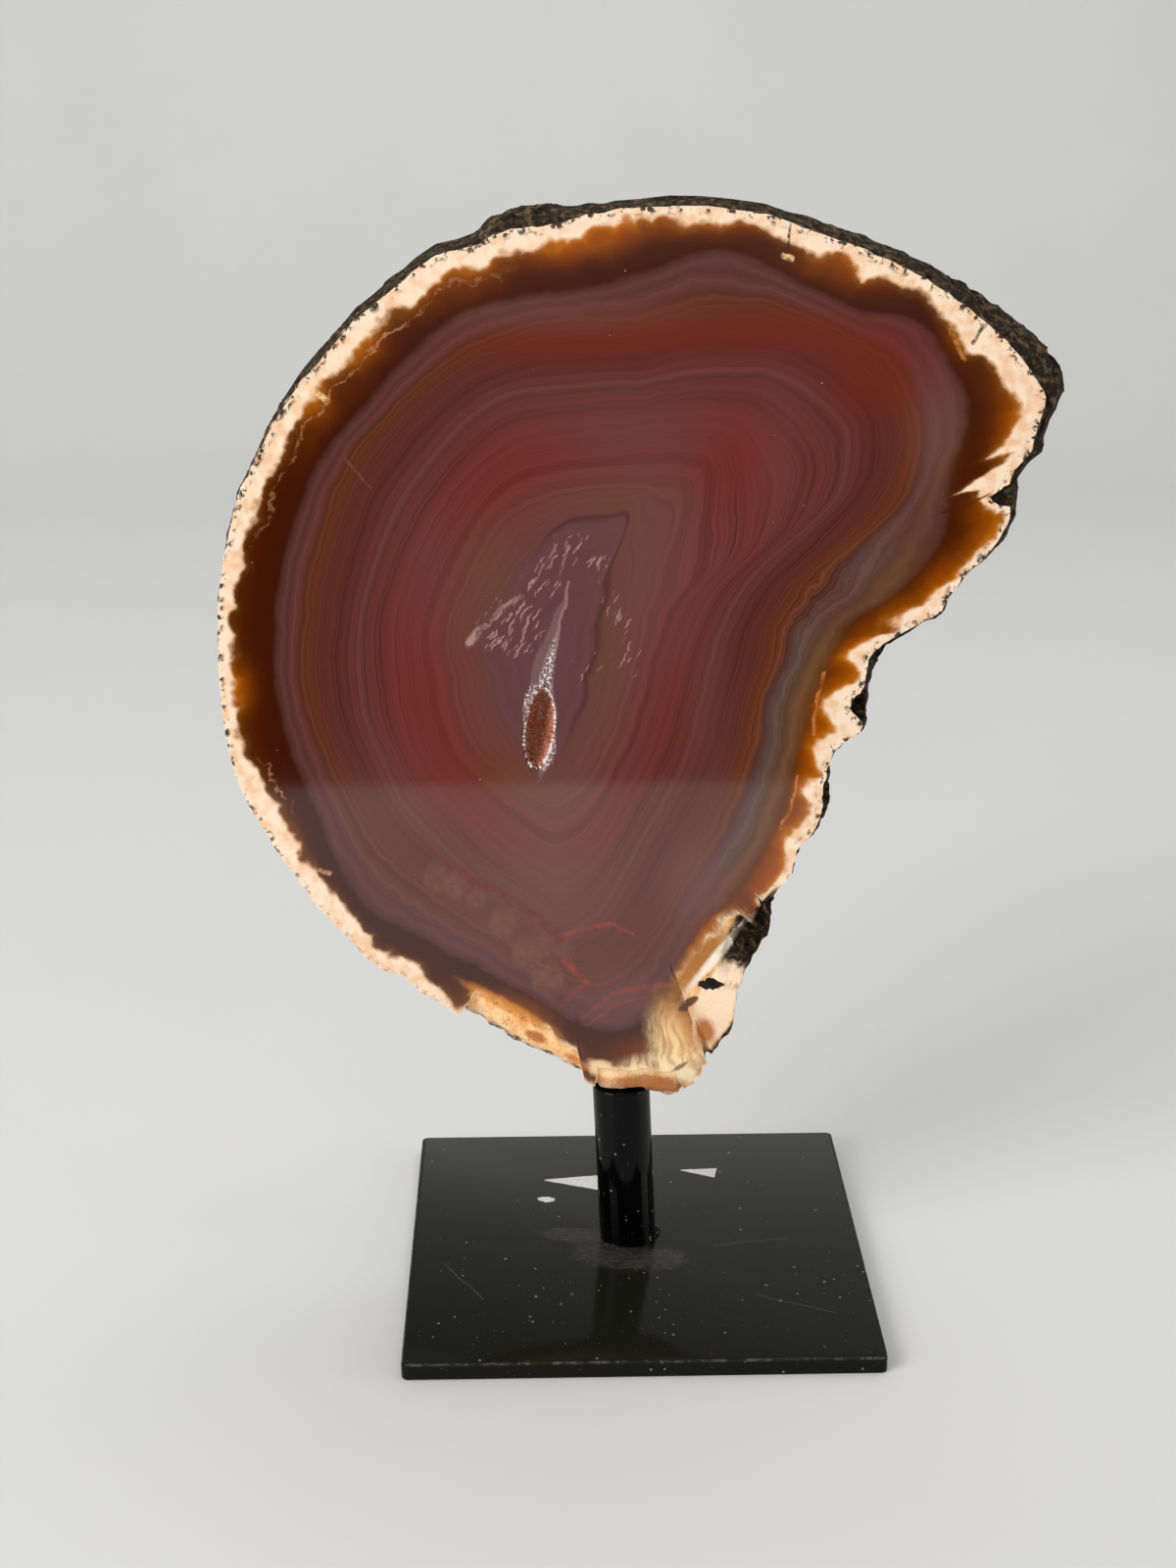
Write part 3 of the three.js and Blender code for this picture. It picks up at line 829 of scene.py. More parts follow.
CLEAR_COLOURS = [
    (0.00, (98, 46, 6)), (0.24, (84, 38, 8)), (0.29, (92, 54, 24)), (0.315, (104, 70, 40)),
    (0.34, (102, 72, 48)), (0.36, (92, 70, 62)), (0.385, (84, 63, 60)), (0.405, (98, 55, 36)),
    (0.425, (110, 56, 28)), (0.45, (98, 46, 30)), (0.50, (86, 41, 34)), (0.6, (90, 45, 40)),
]


# %% [markdown]
# The bands read the growth value through two ramps of colour, one for most of the stone and one for its
# clear right side. Noise along the same value adds the fine lines, so they run with the bands at every
# bend.


# %% Bands
def tinted(stops):
    """The stops of a colour ramp with their colours as pigments."""
    return [(stop, pigment(*tint)) for stop, tint in stops]


def growth_bands(tree, place):
    """Growth colours with fine lines, and the growth value that they follow."""
    slow = calc("SUBTRACT", cloud(place, 0.07), 0.5)
    quick = calc("SUBTRACT", cloud(place, 0.33), 0.5)
    grown = attribute(tree, "band")
    value = scaled(slow, 0.03, grown)
    value = scaled(quick, ease(grown, 0.3, 0.6, 0.03, 0.008), value)
    colour = stripes(value, tinted(GROWTH_COLOURS), BAND_SPAN)
    clear_share = times(attribute(tree, "clear"), ease(value, 0.5, 0.6, 0.85, 0.0))
    colour = blend(clear_share, colour, stripes(value, tinted(CLEAR_COLOURS), BAND_SPAN))
    broad = calc("SUBTRACT", cloud(None, 42.0, 2.0, 0.6, line=value), 0.5)
    fine = calc("SUBTRACT", cloud(None, 170.0, 2.0, 0.6, line=value), 0.5)
    fade = ease(cloud(place, 0.045), 0.38, 0.62, 0.2, 0.7)
    fade = scaled(attribute(tree, "lined"), 1.0, fade)
    inside = ease(value, 0.29, 0.34)
    core = ease(value, 0.8, 0.95, 1.0, 0.3)
    lines = scaled(times(fine, fade), 0.9, times(broad, 0.9))
    strength = times(inside, core, lines)
    return vector_calc("SCALE", colour, calc("ADD", 1.0, strength)), value


# %% [markdown]
# In the middle the bands close round a wedge of quartz. A dark hairline runs down its right side, a grey
# wedge inside it opens into the pocket, and pale healed flakes lie in an arc above. The flakes are long
# random cells that lean up to the right, kept only where the stone shows them.

# %% Quartz wedge, flakes
WEDGE_SIDE = [(-11.2, 0, 125.0), (-12.1, 0, 120.2), (-14.0, 0, 112.5)]
LOWER_WEDGE = ((-15.9, 91.4), (-15.8, 116.0), [(0, 0), (0.25, 2.5), (0.55, 2.5), (0.8, 1.5), (1, 0)])
UPPER_WEDGE = ((-16.0, 109.0), (-11.2, 125.4), [(0, 1.9), (0.4, 1.2), (0.7, 0.7), (1, 0)])
POCKET_CRUST = ((-16.3, 103.0), (-13.4, 117.0), [(0, 1.5), (0.35, 1.3), (0.75, 0.7), (1, 0)])
POCKET_MIDDLE = (-16.2, -5, 100.9)
POCKET_HALF = (2.5, 9, 7.2)
POCKET_TURN = 7
WIDEST = 5.0
OUT_OF_REACH = -9.0
FLAKE_LEAN = math.radians(-30)
LONG_CELLS = (2.3, 0.0, 0.34)
ACROSS_FACE = (0, 1, 0)


def spindle(place, foot, tip, half_widths):
    """How far a place lies inside a long shape with a foot, a tip and half widths along the way, in mm."""
    start = Vector((foot[0], 0, foot[1]))
    run = Vector((tip[0], 0, tip[1])) - start
    side = Vector((run.z, 0, -run.x)).normalized()
    out = vector_calc("SUBTRACT", place, start)
    along = calc("DIVIDE", dot(out, run), run.dot(run))
    stops = [(share, (half / WIDEST,) * 3 + (1.0,)) for share, half in half_widths]
    half = times(stripes(along, stops), WIDEST)
    across = calc("ABSOLUTE", dot(out, side))
    held = times(calc("GREATER_THAN", along, 0.0), calc("LESS_THAN", along, 1.0))
    gap = calc("SUBTRACT", half, across)
    return scaled(calc("SUBTRACT", 1.0, held), OUT_OF_REACH, gap)


def quartz_heart(tree, place, bent, colour, value):
    """Lays the quartz wedge, the flakes, and the white crust round the pocket with its painted glints, on a
    colour.
    """
    side = calc("ABSOLUTE", calc("SUBTRACT", value, 0.985))
    right_of = ease(dot(place, (1, 0, 0.12)), -2.0, 4.0)
    side_line = times(ease(side, 0.0, 0.016, 0.6, 0.0), right_of)
    colour = blend(side_line, colour, pigment(66, 36, 42))
    inside = largest(spindle(bent, *LOWER_WEDGE), spindle(bent, *UPPER_WEDGE))
    colour = blend(ease(inside, -0.15, 0.4, 0.0, 0.75), colour, WEDGE_GREY)
    colour = blend(times(crack(bent, WEDGE_SIDE, 0.3), 0.5), colour, FLECK)
    turned = new_node("VectorRotate", place)
    turned.rotation_type = "Y_AXIS"
    feed(turned.inputs["Vector"], stretched(swayed(place, 0.5, 2.2), (1, 0, 1)))
    turned.inputs["Angle"].default_value = FLAKE_LEAN
    near, chance = cells(stretched(turned.outputs[0], LONG_CELLS), 1.0)
    own_size = ease(parts_of(chance, "Color")[0], 0.15, 0.85, 0.1, 0.62)
    reach = times(attribute(tree, "flake"), own_size)
    flakes = ease(calc("SUBTRACT", near, reach), -0.2, -0.02, 1.0, 0.0)
    grain = ease(cloud(place, 1.8, 3.0, 0.6), 0.34, 0.56, 0.35, 0.85)
    colour = blend(times(flakes, grain), colour, FLECK)
    hollow_rim = patch(place, torn(place), POCKET_MIDDLE, POCKET_HALF, POCKET_TURN, 0.3, 0.05,
                       ACROSS_FACE)
    crust = ease(spindle(place, *POCKET_CRUST), -0.3, 0.8)
    crust = largest(crust, times(hollow_rim, 0.8))
    # The crust's white specks are its white quartz grains and painted glints in one.
    white_specks_and_glints = ease(cloud(place, 2.4, 2.0, 0.7), 0.46, 0.62)
    colour = blend(times(crust, white_specks_and_glints), colour, WHITE_CRUST_AND_GLINTS)
    inwards = ease(dot(place, ACROSS_FACE), FACE_Y / MM + 0.3, FACE_Y / MM + 0.9)
    return blend(times(hollow_rim, inwards), colour, pigment(160, 92, 66))


# %% [markdown]
# Other marks are healed cracks and fresh breaks. A crack is its colour, width, strength and a short chain
# of places on the face in millimetres. A break's mark is its colour, middle, half sizes, turn in degrees,
# how ragged and how soft its edge is, and its strength.

# %% Cracks and marks on the face
FACE_CRACKS = [
    ((146, 60, 40), 0.6, 0.65, [(-12.6, 63.9), (-9.1, 65.1), (-4.4, 66.0), (-0.7, 64.0)]),
    ((146, 62, 42), 0.65, 0.6, [(-9.2, 48.8), (-4.4, 53.1), (0.4, 54.2), (5.2, 54.4)]),
    ((150, 58, 38), 0.9, 0.6, [(-12.3, 59.3), (-8.6, 55.2), (-11.9, 52.3)]),
    ((140, 66, 44), 0.4, 0.5, [(-8.4, 47.2), (-3.6, 50.9), (1.6, 52.6)]),
    ((178, 140, 132), 1.2, 0.8, [(-27.2, 115.8), (-26.2, 117.0)]),
    ((168, 126, 118), 0.8, 0.8, [(-26.0, 117.9), (-24.8, 118.2)]),
    ((160, 112, 106), 0.5, 0.7, [(-24.0, 119.3), (-21.6, 121.6), (-18.6, 122.8)]),
    ((152, 106, 102), 0.3, 0.7, [(-12.6, 126.6), (-11.6, 129.4), (-11.4, 132.0)]),
    ((152, 106, 102), 0.3, 0.7, [(-17.4, 124.4), (-15.4, 127.6), (-13.4, 131.6)]),
    ((104, 36, 30), 1.2, 0.8, [(-32.1, 77.1), (-24.3, 72.5), (-17.6, 67.9), (-13.1, 63.6)]),
    ((70, 40, 18), 0.35, 1.0, [(23.4, 182.4), (23.0, 177.4)]),
    ((236, 190, 136), 0.6, 1.0, [(22.1, 176.9), (23.4, 176.1)]),
    ((56, 40, 26), 0.45, 0.9, [(54.2, 166.5), (52.2, 163.2)]),
    ((196, 130, 56), 0.55, 0.7, [(48.3, 166.0), (51.0, 160.5)]),
    ((240, 196, 138), 0.7, 1.0, [(-52.4, 157.7), (-48.8, 154.9)]),
    ((196, 120, 62), 0.4, 0.8, [(30.5, 109.8), (29.2, 104.9), (29.0, 99.5)]),
    ((196, 120, 62), 0.4, 0.8, [(26.5, 92.0), (25.6, 86.5), (23.8, 82.9)]),
    ((136, 92, 76), 0.2, 0.6, [(-46.6, 145.8), (-42.4, 140.7)]),
    ((216, 150, 100), 0.6, 0.8, [(-52.9, 76.4), (-51.4, 75.6)]),
]
BREAK_MARKS = [
    ((252, 222, 190), (14.2, 49.4), (8.8, 4.2), 74, 0.5, 0.1, 1.0),
    ((170, 106, 44), (10.8, 58.6), (6.6, 2.6), 52, 0.5, 0.4, 0.9),
    ((204, 138, 72), (7.2, 45.2), (6.8, 3.0), 108, 0.4, 0.7, 0.95),
    ((252, 216, 158), (5.8, 43.0), (6.0, 3.0), 106, 0.5, 0.7, 1.0),
    ((254, 224, 176), (4.0, 39.6), (7.4, 2.2), 8, 0.6, 0.6, 1.0),
    ((186, 104, 34), (12.0, 44.4), (2.7, 1.7), 108, 0.5, 0.4, 0.9),
    ((255, 240, 220), (13.7, 59.4), (7.8, 0.9), 52, 0.5, 0.5, 0.95),
    ((74, 46, 30), (8.8, 50.6), (1.9, 0.8), 24, 0.6, 0.15, 0.9),
    ((34, 24, 22), (12.8, 53.6), (2.2, 1.1), -14, 1.3, 0.08, 1.0),
    ((250, 230, 186), (8.6, 37.6), (1.9, 1.5), 30, 0.5, 0.4, 0.8),
    ((92, 74, 54), (7.4, 39.2), (1.5, 0.45), 34, 1.2, 0.3, 0.8),
    ((158, 86, 34), (2.4, 35.3), (7.0, 2.2), -4, 0.8, 0.4, 0.85),
    ((250, 212, 164), (-6.0, 38.8), (2.8, 1.5), -30, 0.8, 0.4, 0.9),
    ((170, 96, 36), (-17.4, 44.4), (2.0, 1.2), -30, 0.8, 0.3, 0.8),
    ((214, 138, 54), (-21.6, 50.4), (8.4, 1.1), -32, 0.7, 0.5, 0.8),
    ((190, 110, 40), (-10.4, 40.0), (2.2, 0.8), -26, 0.8, 0.4, 0.7),
]
FEATHERED = (3, 4)
MARK_Y = -4
MARK_HALF_Y = 7


def face_cracks(place, bent, colour):
    """Lays the cracks on a colour. Noise breaks them up, so they fade in and out along their way."""
    faint = ease(cloud(place, 0.7, 4.0, 0.7), 0.38, 0.6, 0.15, 1.0)
    shown = times(ease(dot(place, ACROSS_FACE), -2.0, 1.0, 1.0, 0.0), faint)
    for tint, width, amount, corners in FACE_CRACKS:
        mask = crack(bent, [(x, 0, z) for x, z in corners], width)
        colour = blend(times(mask, shown, amount), colour, pigment(*tint))
    return colour


def break_marks(place, colour):
    """Lays the marks of the broken corner on a colour. The feathered ones are streaked along the break."""
    tear = torn(place, 0.9)
    streaks = cloud(stretched(swayed(place, 0.12, 7.0), (1.0, 0.3, 0.14)), 1.2, 2.0)
    feather = ease(streaks, 0.34, 0.66, 0.25, 0.95)
    for number, (tint, (x, z), (half_x, half_z), turn_by, ragged, soft, amount) in enumerate(BREAK_MARKS):
        middle = (x, MARK_Y, z)
        half = (half_x, MARK_HALF_Y, half_z)
        mask = patch(place, tear, middle, half, turn_by, ragged, soft, ACROSS_FACE)
        if number in FEATHERED:
            mask = times(mask, feather)
        colour = blend(times(mask, amount), colour, pigment(*tint))
    return colour


# %% [markdown]
# Towards the rind the clear stone turns brown and then amber. Near the edge the amber and gold are painted
# brighter, as a painted glow of light passing through thin stone, up to the scalloped edge of the cream
# layer.
# Lobes of amber push outwards between teeth of cream.

# %% Brown, amber and cream layers
def outer_layers(tree, place, colour, value):
    """Brown and amber with a painted glow near the edge, cream with its scallops, and dark specks of rind at
    the polished edge.
    """
    flat = stretched(place, (1.0, 0.0, 1.0))
    lobe, _ = cells(flat, 0.25)
    small, _ = cells(flat, 0.6)
    crumble = torn(place, 1.3)
    depth_in = calc("SUBTRACT", attribute(tree, "edge"), attribute(tree, "cream"))
    swing = times(attribute(tree, "scallop"), -2.4)
    depth_in = scaled(calc("SUBTRACT", lobe, 0.5), swing, depth_in)
    depth_in = scaled(calc("SUBTRACT", small, 0.45), -0.8, depth_in)
    depth_in = scaled(crumble, 0.7, depth_in)
    outside = ease(value, 0.24, 0.33, 1.0, 0.0)
    amber = attribute(tree, "amber")
    seam = calc("ABSOLUTE", scaled(crumble, 1.6, calc("SUBTRACT", depth_in, 2.2)))
    seam = times(ease(seam, 0.1, 0.4, 1.0, 0.0), attribute(tree, "seam"))
    seam = times(seam, ease(cloud(place, 0.5, 3.0, 0.7), 0.42, 0.58, 0.1, 0.75))
    # Painted glow: the stone's amber is brightened towards the edge, standing in for light through the thin
    # stone.
    amber_and_painted_glow = times(ease(depth_in, 0.0, 8.0, 1.0, 0.0), amber)
    amber_and_painted_glow = times(amber_and_painted_glow, scaled(outside, 0.85, 0.15))
    colour = blend(amber_and_painted_glow, colour, AMBER)
    # Gold in the amber spots is more of the painted glow; tan elsewhere is the stone's brown layer.
    thin = ease(depth_in, 0.0, 2.0, 0.75, 0.0)
    colour = blend(thin, colour, blend(amber, TAN, GOLD))
    colour = blend(seam, colour, pigment(178, 126, 84))
    colour = blend(ease(depth_in, -0.1, 0.8, 0.85, 0.0), colour, PEACH)
    cream_tone = blend(ease(cloud(place, 0.5, 3.0), 0.4, 0.7), CREAM, PEACH)
    colour = blend(ease(depth_in, -0.35, 0.25, 1.0, 0.0), colour, cream_tone)
    speck = ease(cloud(place, 0.85, 4.0, 0.7), 0.52, 0.58)
    reach = scaled(attribute(tree, "dark"), 0.5, 0.9)
    at_edge = ease(calc("DIVIDE", attribute(tree, "edge"), reach), 0.35, 1.2, 0.95, 0.0)
    low_edge = ease(dot(place, (0, 0, 1)), 60.0, 90.0, 0.35, 1.0)
    colour = blend(times(speck, at_edge, low_edge), colour, RIND_DARK)
    white = ease(scaled(crumble, 1.5, attribute(tree, "edge")), 0.3, 1.5, 1.0, 0.0)
    colour = blend(times(white, attribute(tree, "white_edge")), colour, CREAM)
    return colour, cream_tone


# %% [markdown]
# The rind is dark brown with paler crumbs. It is darker on the top and right and towards the back, and turns
# cream round the left and bottom and towards the polished face. The broken facets are fresh stone: peach with
# gold streaks and fine dark splits.


# %% Rind and breaks
def rind_and_breaks(tree, place, colour, cream_tone):
    """Lays the rind and the broken facets on a colour, and says where they are."""
    lump = cloud(place, 0.8, 5.0, 0.65)
    rind_tone = blend(ease(lump, 0.46, 0.72), RIND_DARK, RIND_PALE)
    darkness = calc("ADD", attribute(tree, "dark"), calc("SUBTRACT", lump, 0.5))
    pale_share = ease(darkness, 0.35, 0.6)
    rind_tone = blend(pale_share, cream_tone, rind_tone)
    streak = cloud(stretched(place, (1.0, 0.5, 0.35)), 0.5, 4.0, 0.6)
    break_tone = blend(ease(streak, 0.42, 0.58), pigment(252, 206, 152), pigment(244, 182, 118))
    break_tone = blend(ease(streak, 0.58, 0.72, 0.0, 0.8), break_tone, GOLD)
    split = calc("ABSOLUTE", calc("SUBTRACT", cloud(place, 0.42, 3.0), 0.5))
    break_tone = blend(ease(split, 0.0, 0.014, 0.55, 0.0), break_tone, pigment(120, 74, 40))
    rind_tone = blend(attribute(tree, "broken"), rind_tone, break_tone)
    on_rind = ease(attribute(tree, "rind"), 0.4, 0.6)
    return blend(on_rind, colour, rind_tone), on_rind


# %% [markdown]
# All layers come together in one finish. The polished face is smooth with faint smears, and the rind is
# dull, with a fine bump.


# %% Agate
def agate_finish():
    """Bands, quartz heart, cracks, outer layers, rind and breaks of the stone, with the painted glow of the
    breaks.
    """
    material, tree, shader = new_material("banded_agate")
    place = place_mm(tree)
    colour, value = growth_bands(tree, place)
    inside = ease(value, 0.27, 0.33)
    for name, tint, amount in (("red", RED, 0.6), ("olive", OLIVE, 0.5), ("lavender", LAVENDER, 0.5)):
        share = times(attribute(tree, name), amount, inside)
        colour = blend(share, colour, tint)
    mottle = ease(cloud(place, 0.6, 2.0), 0.3, 0.7, 0.15, 0.4)
    colour = blend(times(attribute(tree, "ghost"), mottle), colour, GHOST)
    bent = swayed(place, 0.35, 1.6)
    colour = quartz_heart(tree, place, bent, colour, value)
    colour, cream_tone = outer_layers(tree, place, colour, value)
    colour, on_rind = rind_and_breaks(tree, place, colour, cream_tone)
    colour = face_cracks(place, bent, colour)
    colour = break_marks(place, colour)
    colour = blend(times(dust(tree, 0.08, 0.07), 0.7), colour, pigment(200, 180, 168))
    feed(shader.inputs["Base Color"], colour)
    # Painted glow: the broken facets emit light in their own colour, though they are no lamp.
    feed(shader.inputs["Emission Color"], colour)
    feed(shader.inputs["Emission Strength"], times(attribute(tree, "broken"), BREAK_PAINTED_GLOW))

    smear = cloud(place, 0.12, 3.0)
    polish = scaled(smear, 0.06, 0.03)
    dull = scaled(attribute(tree, "broken"), -0.35, 0.88)
    rough_mix = new_node("Mix", place)
    feed(rough_mix.inputs[0], on_rind)
    feed(rough_mix.inputs[2], polish)
    feed(rough_mix.inputs[3], dull)
    feed(shader.inputs["Roughness"], rough_mix.outputs[0])
    bump = new_node("Bump", place)
    bump.inputs["Distance"].default_value = 0.35 * MM
    feed(bump.inputs["Strength"], times(on_rind, 0.9))
    feed(bump.inputs["Height"], cloud(place, 2.2, 4.0, 0.6))
    feed(shader.inputs["Normal"], bump.outputs[0])
    shader.inputs["IOR"].default_value = 1.54
    feed(shader.inputs["Specular IOR Level"], scaled(on_rind, -0.35, 0.5))
    material.cycles.emission_sampling = "NONE"
    return material


agate.data.materials.clear()
agate.data.materials.append(agate_finish())
print("stone finish:", len(agate.data.materials[0].node_tree.nodes), "nodes")
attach(agate, "root")
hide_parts("agate_slice")

# %% [markdown]
# ## Crystals in the pocket
# The pocket is lined with a druse: hundreds of small six-sided quartz points that stand on its wall. One
# crystal is modelled from a cone whose base is drawn out into a prism.

# %% One crystal
crystal = added("crystal", bpy.ops.mesh.primitive_cone_add, vertices=6, radius1=0.5, radius2=0.0, depth=0.9,
                location=(0, 0, 0.75))
bpy.ops.object.transform_apply(location=True)
bpy.ops.object.mode_set(mode="EDIT")
bpy.ops.mesh.select_all(action="DESELECT")
bpy.ops.mesh.select_mode(type="FACE")
bpy.ops.object.mode_set(mode="OBJECT")
for face in crystal.data.polygons:
    face.select = face.normal.z < -0.9
bpy.ops.object.mode_set(mode="EDIT")
bpy.ops.mesh.extrude_region_move(TRANSFORM_OT_translate={"value": (0, 0, -0.7)})
bpy.ops.object.mode_set(mode="OBJECT")
crystal_points = np.array([vertex.co for vertex in crystal.data.vertices])
crystal_faces = [tuple(face.vertices) for face in crystal.data.polygons]
bpy.ops.object.delete()
print("one crystal:", len(crystal_points), "points,", len(crystal_faces), "faces")

# %% [markdown]
# Rays from the pocket's mouth find its wall. Where one hits inside the stone, a copy of the crystal is laid
# that leans a little at random. All copies are one joined mesh, pressed flat where it would stand well out
# of the face.

# %% Druse
CRYSTAL_COUNT = 760
CRYSTAL_WIDTH = (0.25, 0.55)
CRYSTAL_TALL = (0.55, 0.95)
CRYSTAL_LEAN = 0.3
WALL_REACH = 12 * MM
crust_middle = (crust_low + crust_high) / 2
chance = np.random.default_rng(7)
druse_points = []
druse_faces = []
while len(druse_points) < CRYSTAL_COUNT:
    heading = chance.uniform(0, 2 * np.pi)
    rise = math.asin(chance.uniform(-0.15, 1))
    start = Vector((crust_middle.x, FACE_Y + 0.6 * MM, crust_middle.z + chance.uniform(-5.5, 5.5) * MM))
    aim = Vector((math.cos(heading) * math.cos(rise), math.sin(rise), math.sin(heading) * math.cos(rise)))
    spot, facing, _, _ = packed_slice.ray_cast(start, aim, WALL_REACH)
    if spot is None or spot.y < FACE_Y + 0.1 * MM:
        continue
    inward = (-facing if facing.dot(aim) > 0 else facing).normalized()
    lean = Vector(chance.normal(0, CRYSTAL_LEAN, 3))
    grow = (inward + lean).normalized()
    frame_turn = grow.to_track_quat("Z", "Y").to_matrix()
    width = chance.uniform(*CRYSTAL_WIDTH) * MM
    tall = width * chance.uniform(*CRYSTAL_TALL)
    local = crystal_points * (width, width, tall)
    laid_crystal = local @ np.array(frame_turn).T + np.array(spot)
    first = len(druse_points) * len(crystal_points)
    druse_points.append(laid_crystal)
    druse_faces += [tuple(index + first for index in face) for face in crystal_faces]
druse_mesh = bpy.data.meshes.new("druse")
all_points = np.concatenate(druse_points)
all_points[:, 1] = np.maximum(all_points[:, 1], FACE_Y - 0.15 * MM)
druse_mesh.from_pydata(all_points.tolist(), [], druse_faces)
druse = bpy.data.objects.new("pocket_druse", druse_mesh)
bpy.context.scene.collection.objects.link(druse)
print("druse:", CRYSTAL_COUNT, "crystals,", len(druse_faces), "faces")

# %% [markdown]
# The points are white and sparkling at the mouth. Deeper in, iron has stained them brown.


# %% Quartz
def quartz_finish():
    """White sparkling points at the mouth, stained brown deeper in."""
    material, tree, shader = new_material("quartz_druse")
    place = place_mm(tree)
    deep = ease(parts_of(place)["Y"], FACE_Y / MM + 0.25, FACE_Y / MM + 0.9)
    stain = blend(cloud(place, 1.1, 3.0), pigment(166, 94, 66), pigment(214, 146, 116))
    feed(shader.inputs["Base Color"], blend(deep, pigment(226, 216, 214), stain))
    feed(shader.inputs["Roughness"], ease(deep, 0.0, 1.0, 0.15, 0.45))
    shader.inputs["IOR"].default_value = 1.55
    return material


druse.data.materials.append(quartz_finish())
print("crystal finish:", druse.data.materials[0].name)
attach(druse, "root")
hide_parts("vug_crystals")

# %% [markdown]
# ## The stand
# The plate is cut from 3 mm steel and the bar is 10 mm round, both painted black. They are made in edit
# mode from plain solids. One helper picks the edges to work on, and the other applies a piece's place, turn
# and size to its mesh.


# %% Edit-mode helpers
def select_edges(piece, wanted):
    """Selects the edges for which wanted(first end, second end) is true, and stays in edit mode."""
    bpy.ops.object.mode_set(mode="EDIT")
    bpy.ops.mesh.select_mode(type="EDGE")
    bpy.ops.mesh.select_all(action="DESELECT")
    bpy.ops.object.mode_set(mode="OBJECT")
    mesh = piece.data
    for edge in mesh.edges:
        first, second = (mesh.vertices[index].co for index in edge.vertices)
        edge.select = wanted(first, second)
    bpy.ops.object.mode_set(mode="EDIT")


def settle(piece):
    """Applies the piece's place, turn and size to its mesh."""
    bpy.ops.object.mode_set(mode="OBJECT")
    bpy.ops.object.select_all(action="DESELECT")
    piece.select_set(True)
    bpy.context.view_layer.objects.active = piece
    bpy.ops.object.transform_apply(location=True, rotation=True, scale=True)


# %% [markdown]
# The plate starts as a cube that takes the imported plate's size. Its four corners are rounded, and then the
# edges of its top and underside are softened as a file would do it.

# %% Plate
PLATE_CORNER = 1.2 * MM
PLATE_EDGE = 0.28 * MM
plate_low, plate_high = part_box("base_plate")
plate_size = plate_high - plate_low
plate = added("steel_plate", bpy.ops.mesh.primitive_cube_add, size=1, location=(plate_low + plate_high) / 2)
plate.scale = plate_size
settle(plate)
select_edges(plate, lambda a, b: abs(a.z - b.z) > plate_size.z / 2)
bpy.ops.mesh.bevel(offset=PLATE_CORNER, segments=5)
settle(plate)
select_edges(plate, lambda a, b: abs(a.z - b.z) < MM / 10)
bpy.ops.mesh.bevel(offset=PLATE_EDGE, segments=2)
settle(plate)
bpy.ops.object.shade_smooth_by_angle(angle=math.radians(30))
print("plate:", [round(side / MM, 1) for side in plate.dimensions])

# %% [markdown]
# The bar starts as a cylinder, and its points are moved sideways by height so that it leans as the real one
# does. Half a flattened ball is the bead of weld at its foot.

# %% Post
POST_RADIUS = 5 * MM
POST_FOOT_X = -1.3 * MM
POST_TOP_Z = 34 * MM
POST_LEAN = math.tan(math.radians(2.4))
POST_EDGE = 0.35 * MM
BEAD_RADIUS = 1.5 * MM
BEAD_X = 3.2 * MM
BEAD_Y = 2.5 * MM
BEAD_STRETCH = (1.0, 1.2, 0.8)
foot_z = plate_high.z
post_middle = Vector((POST_FOOT_X, 0, (foot_z + POST_TOP_Z) / 2))
post = added("steel_post", bpy.ops.mesh.primitive_cylinder_add, vertices=96, radius=POST_RADIUS,
             depth=POST_TOP_Z - foot_z, location=post_middle)
settle(post)
select_edges(post, lambda a, b: min(a.z, b.z) > POST_TOP_Z - MM / 10)
bpy.ops.mesh.bevel(offset=POST_EDGE, segments=3)
settle(post)
for vertex in post.data.vertices:
    vertex.co.x -= (vertex.co.z - foot_z) * POST_LEAN
bead = added("weld_bead", bpy.ops.mesh.primitive_uv_sphere_add, segments=24, ring_count=12,
             radius=BEAD_RADIUS, location=(BEAD_X, BEAD_Y, foot_z))
bead.scale = BEAD_STRETCH
settle(bead)
bpy.ops.object.mode_set(mode="EDIT")
bpy.ops.mesh.select_all(action="SELECT")
bpy.ops.mesh.bisect(plane_co=(0, 0, foot_z), plane_no=(0, 0, 1), use_fill=True, clear_inner=True)
settle(bead)
post.select_set(True)
bpy.context.view_layer.objects.active = post
bpy.ops.object.join()
bpy.ops.object.shade_smooth_by_angle(angle=math.radians(40))
print("post:", [round(side / MM, 1) for side in post.dimensions])

# %% [markdown]
# ## Black paint
# Satin black paint with fine dust, a scuffed matt patch round the post's foot, flakes of white residue
# behind it and bare worn edges. The plate's black is lighter and olive, as fine dust and a painted reflection
# of the pale wall. Marks sit where the plate shows them, in millimetres from its middle.

# %% Paint
BLACK = pigment(3, 3, 4)
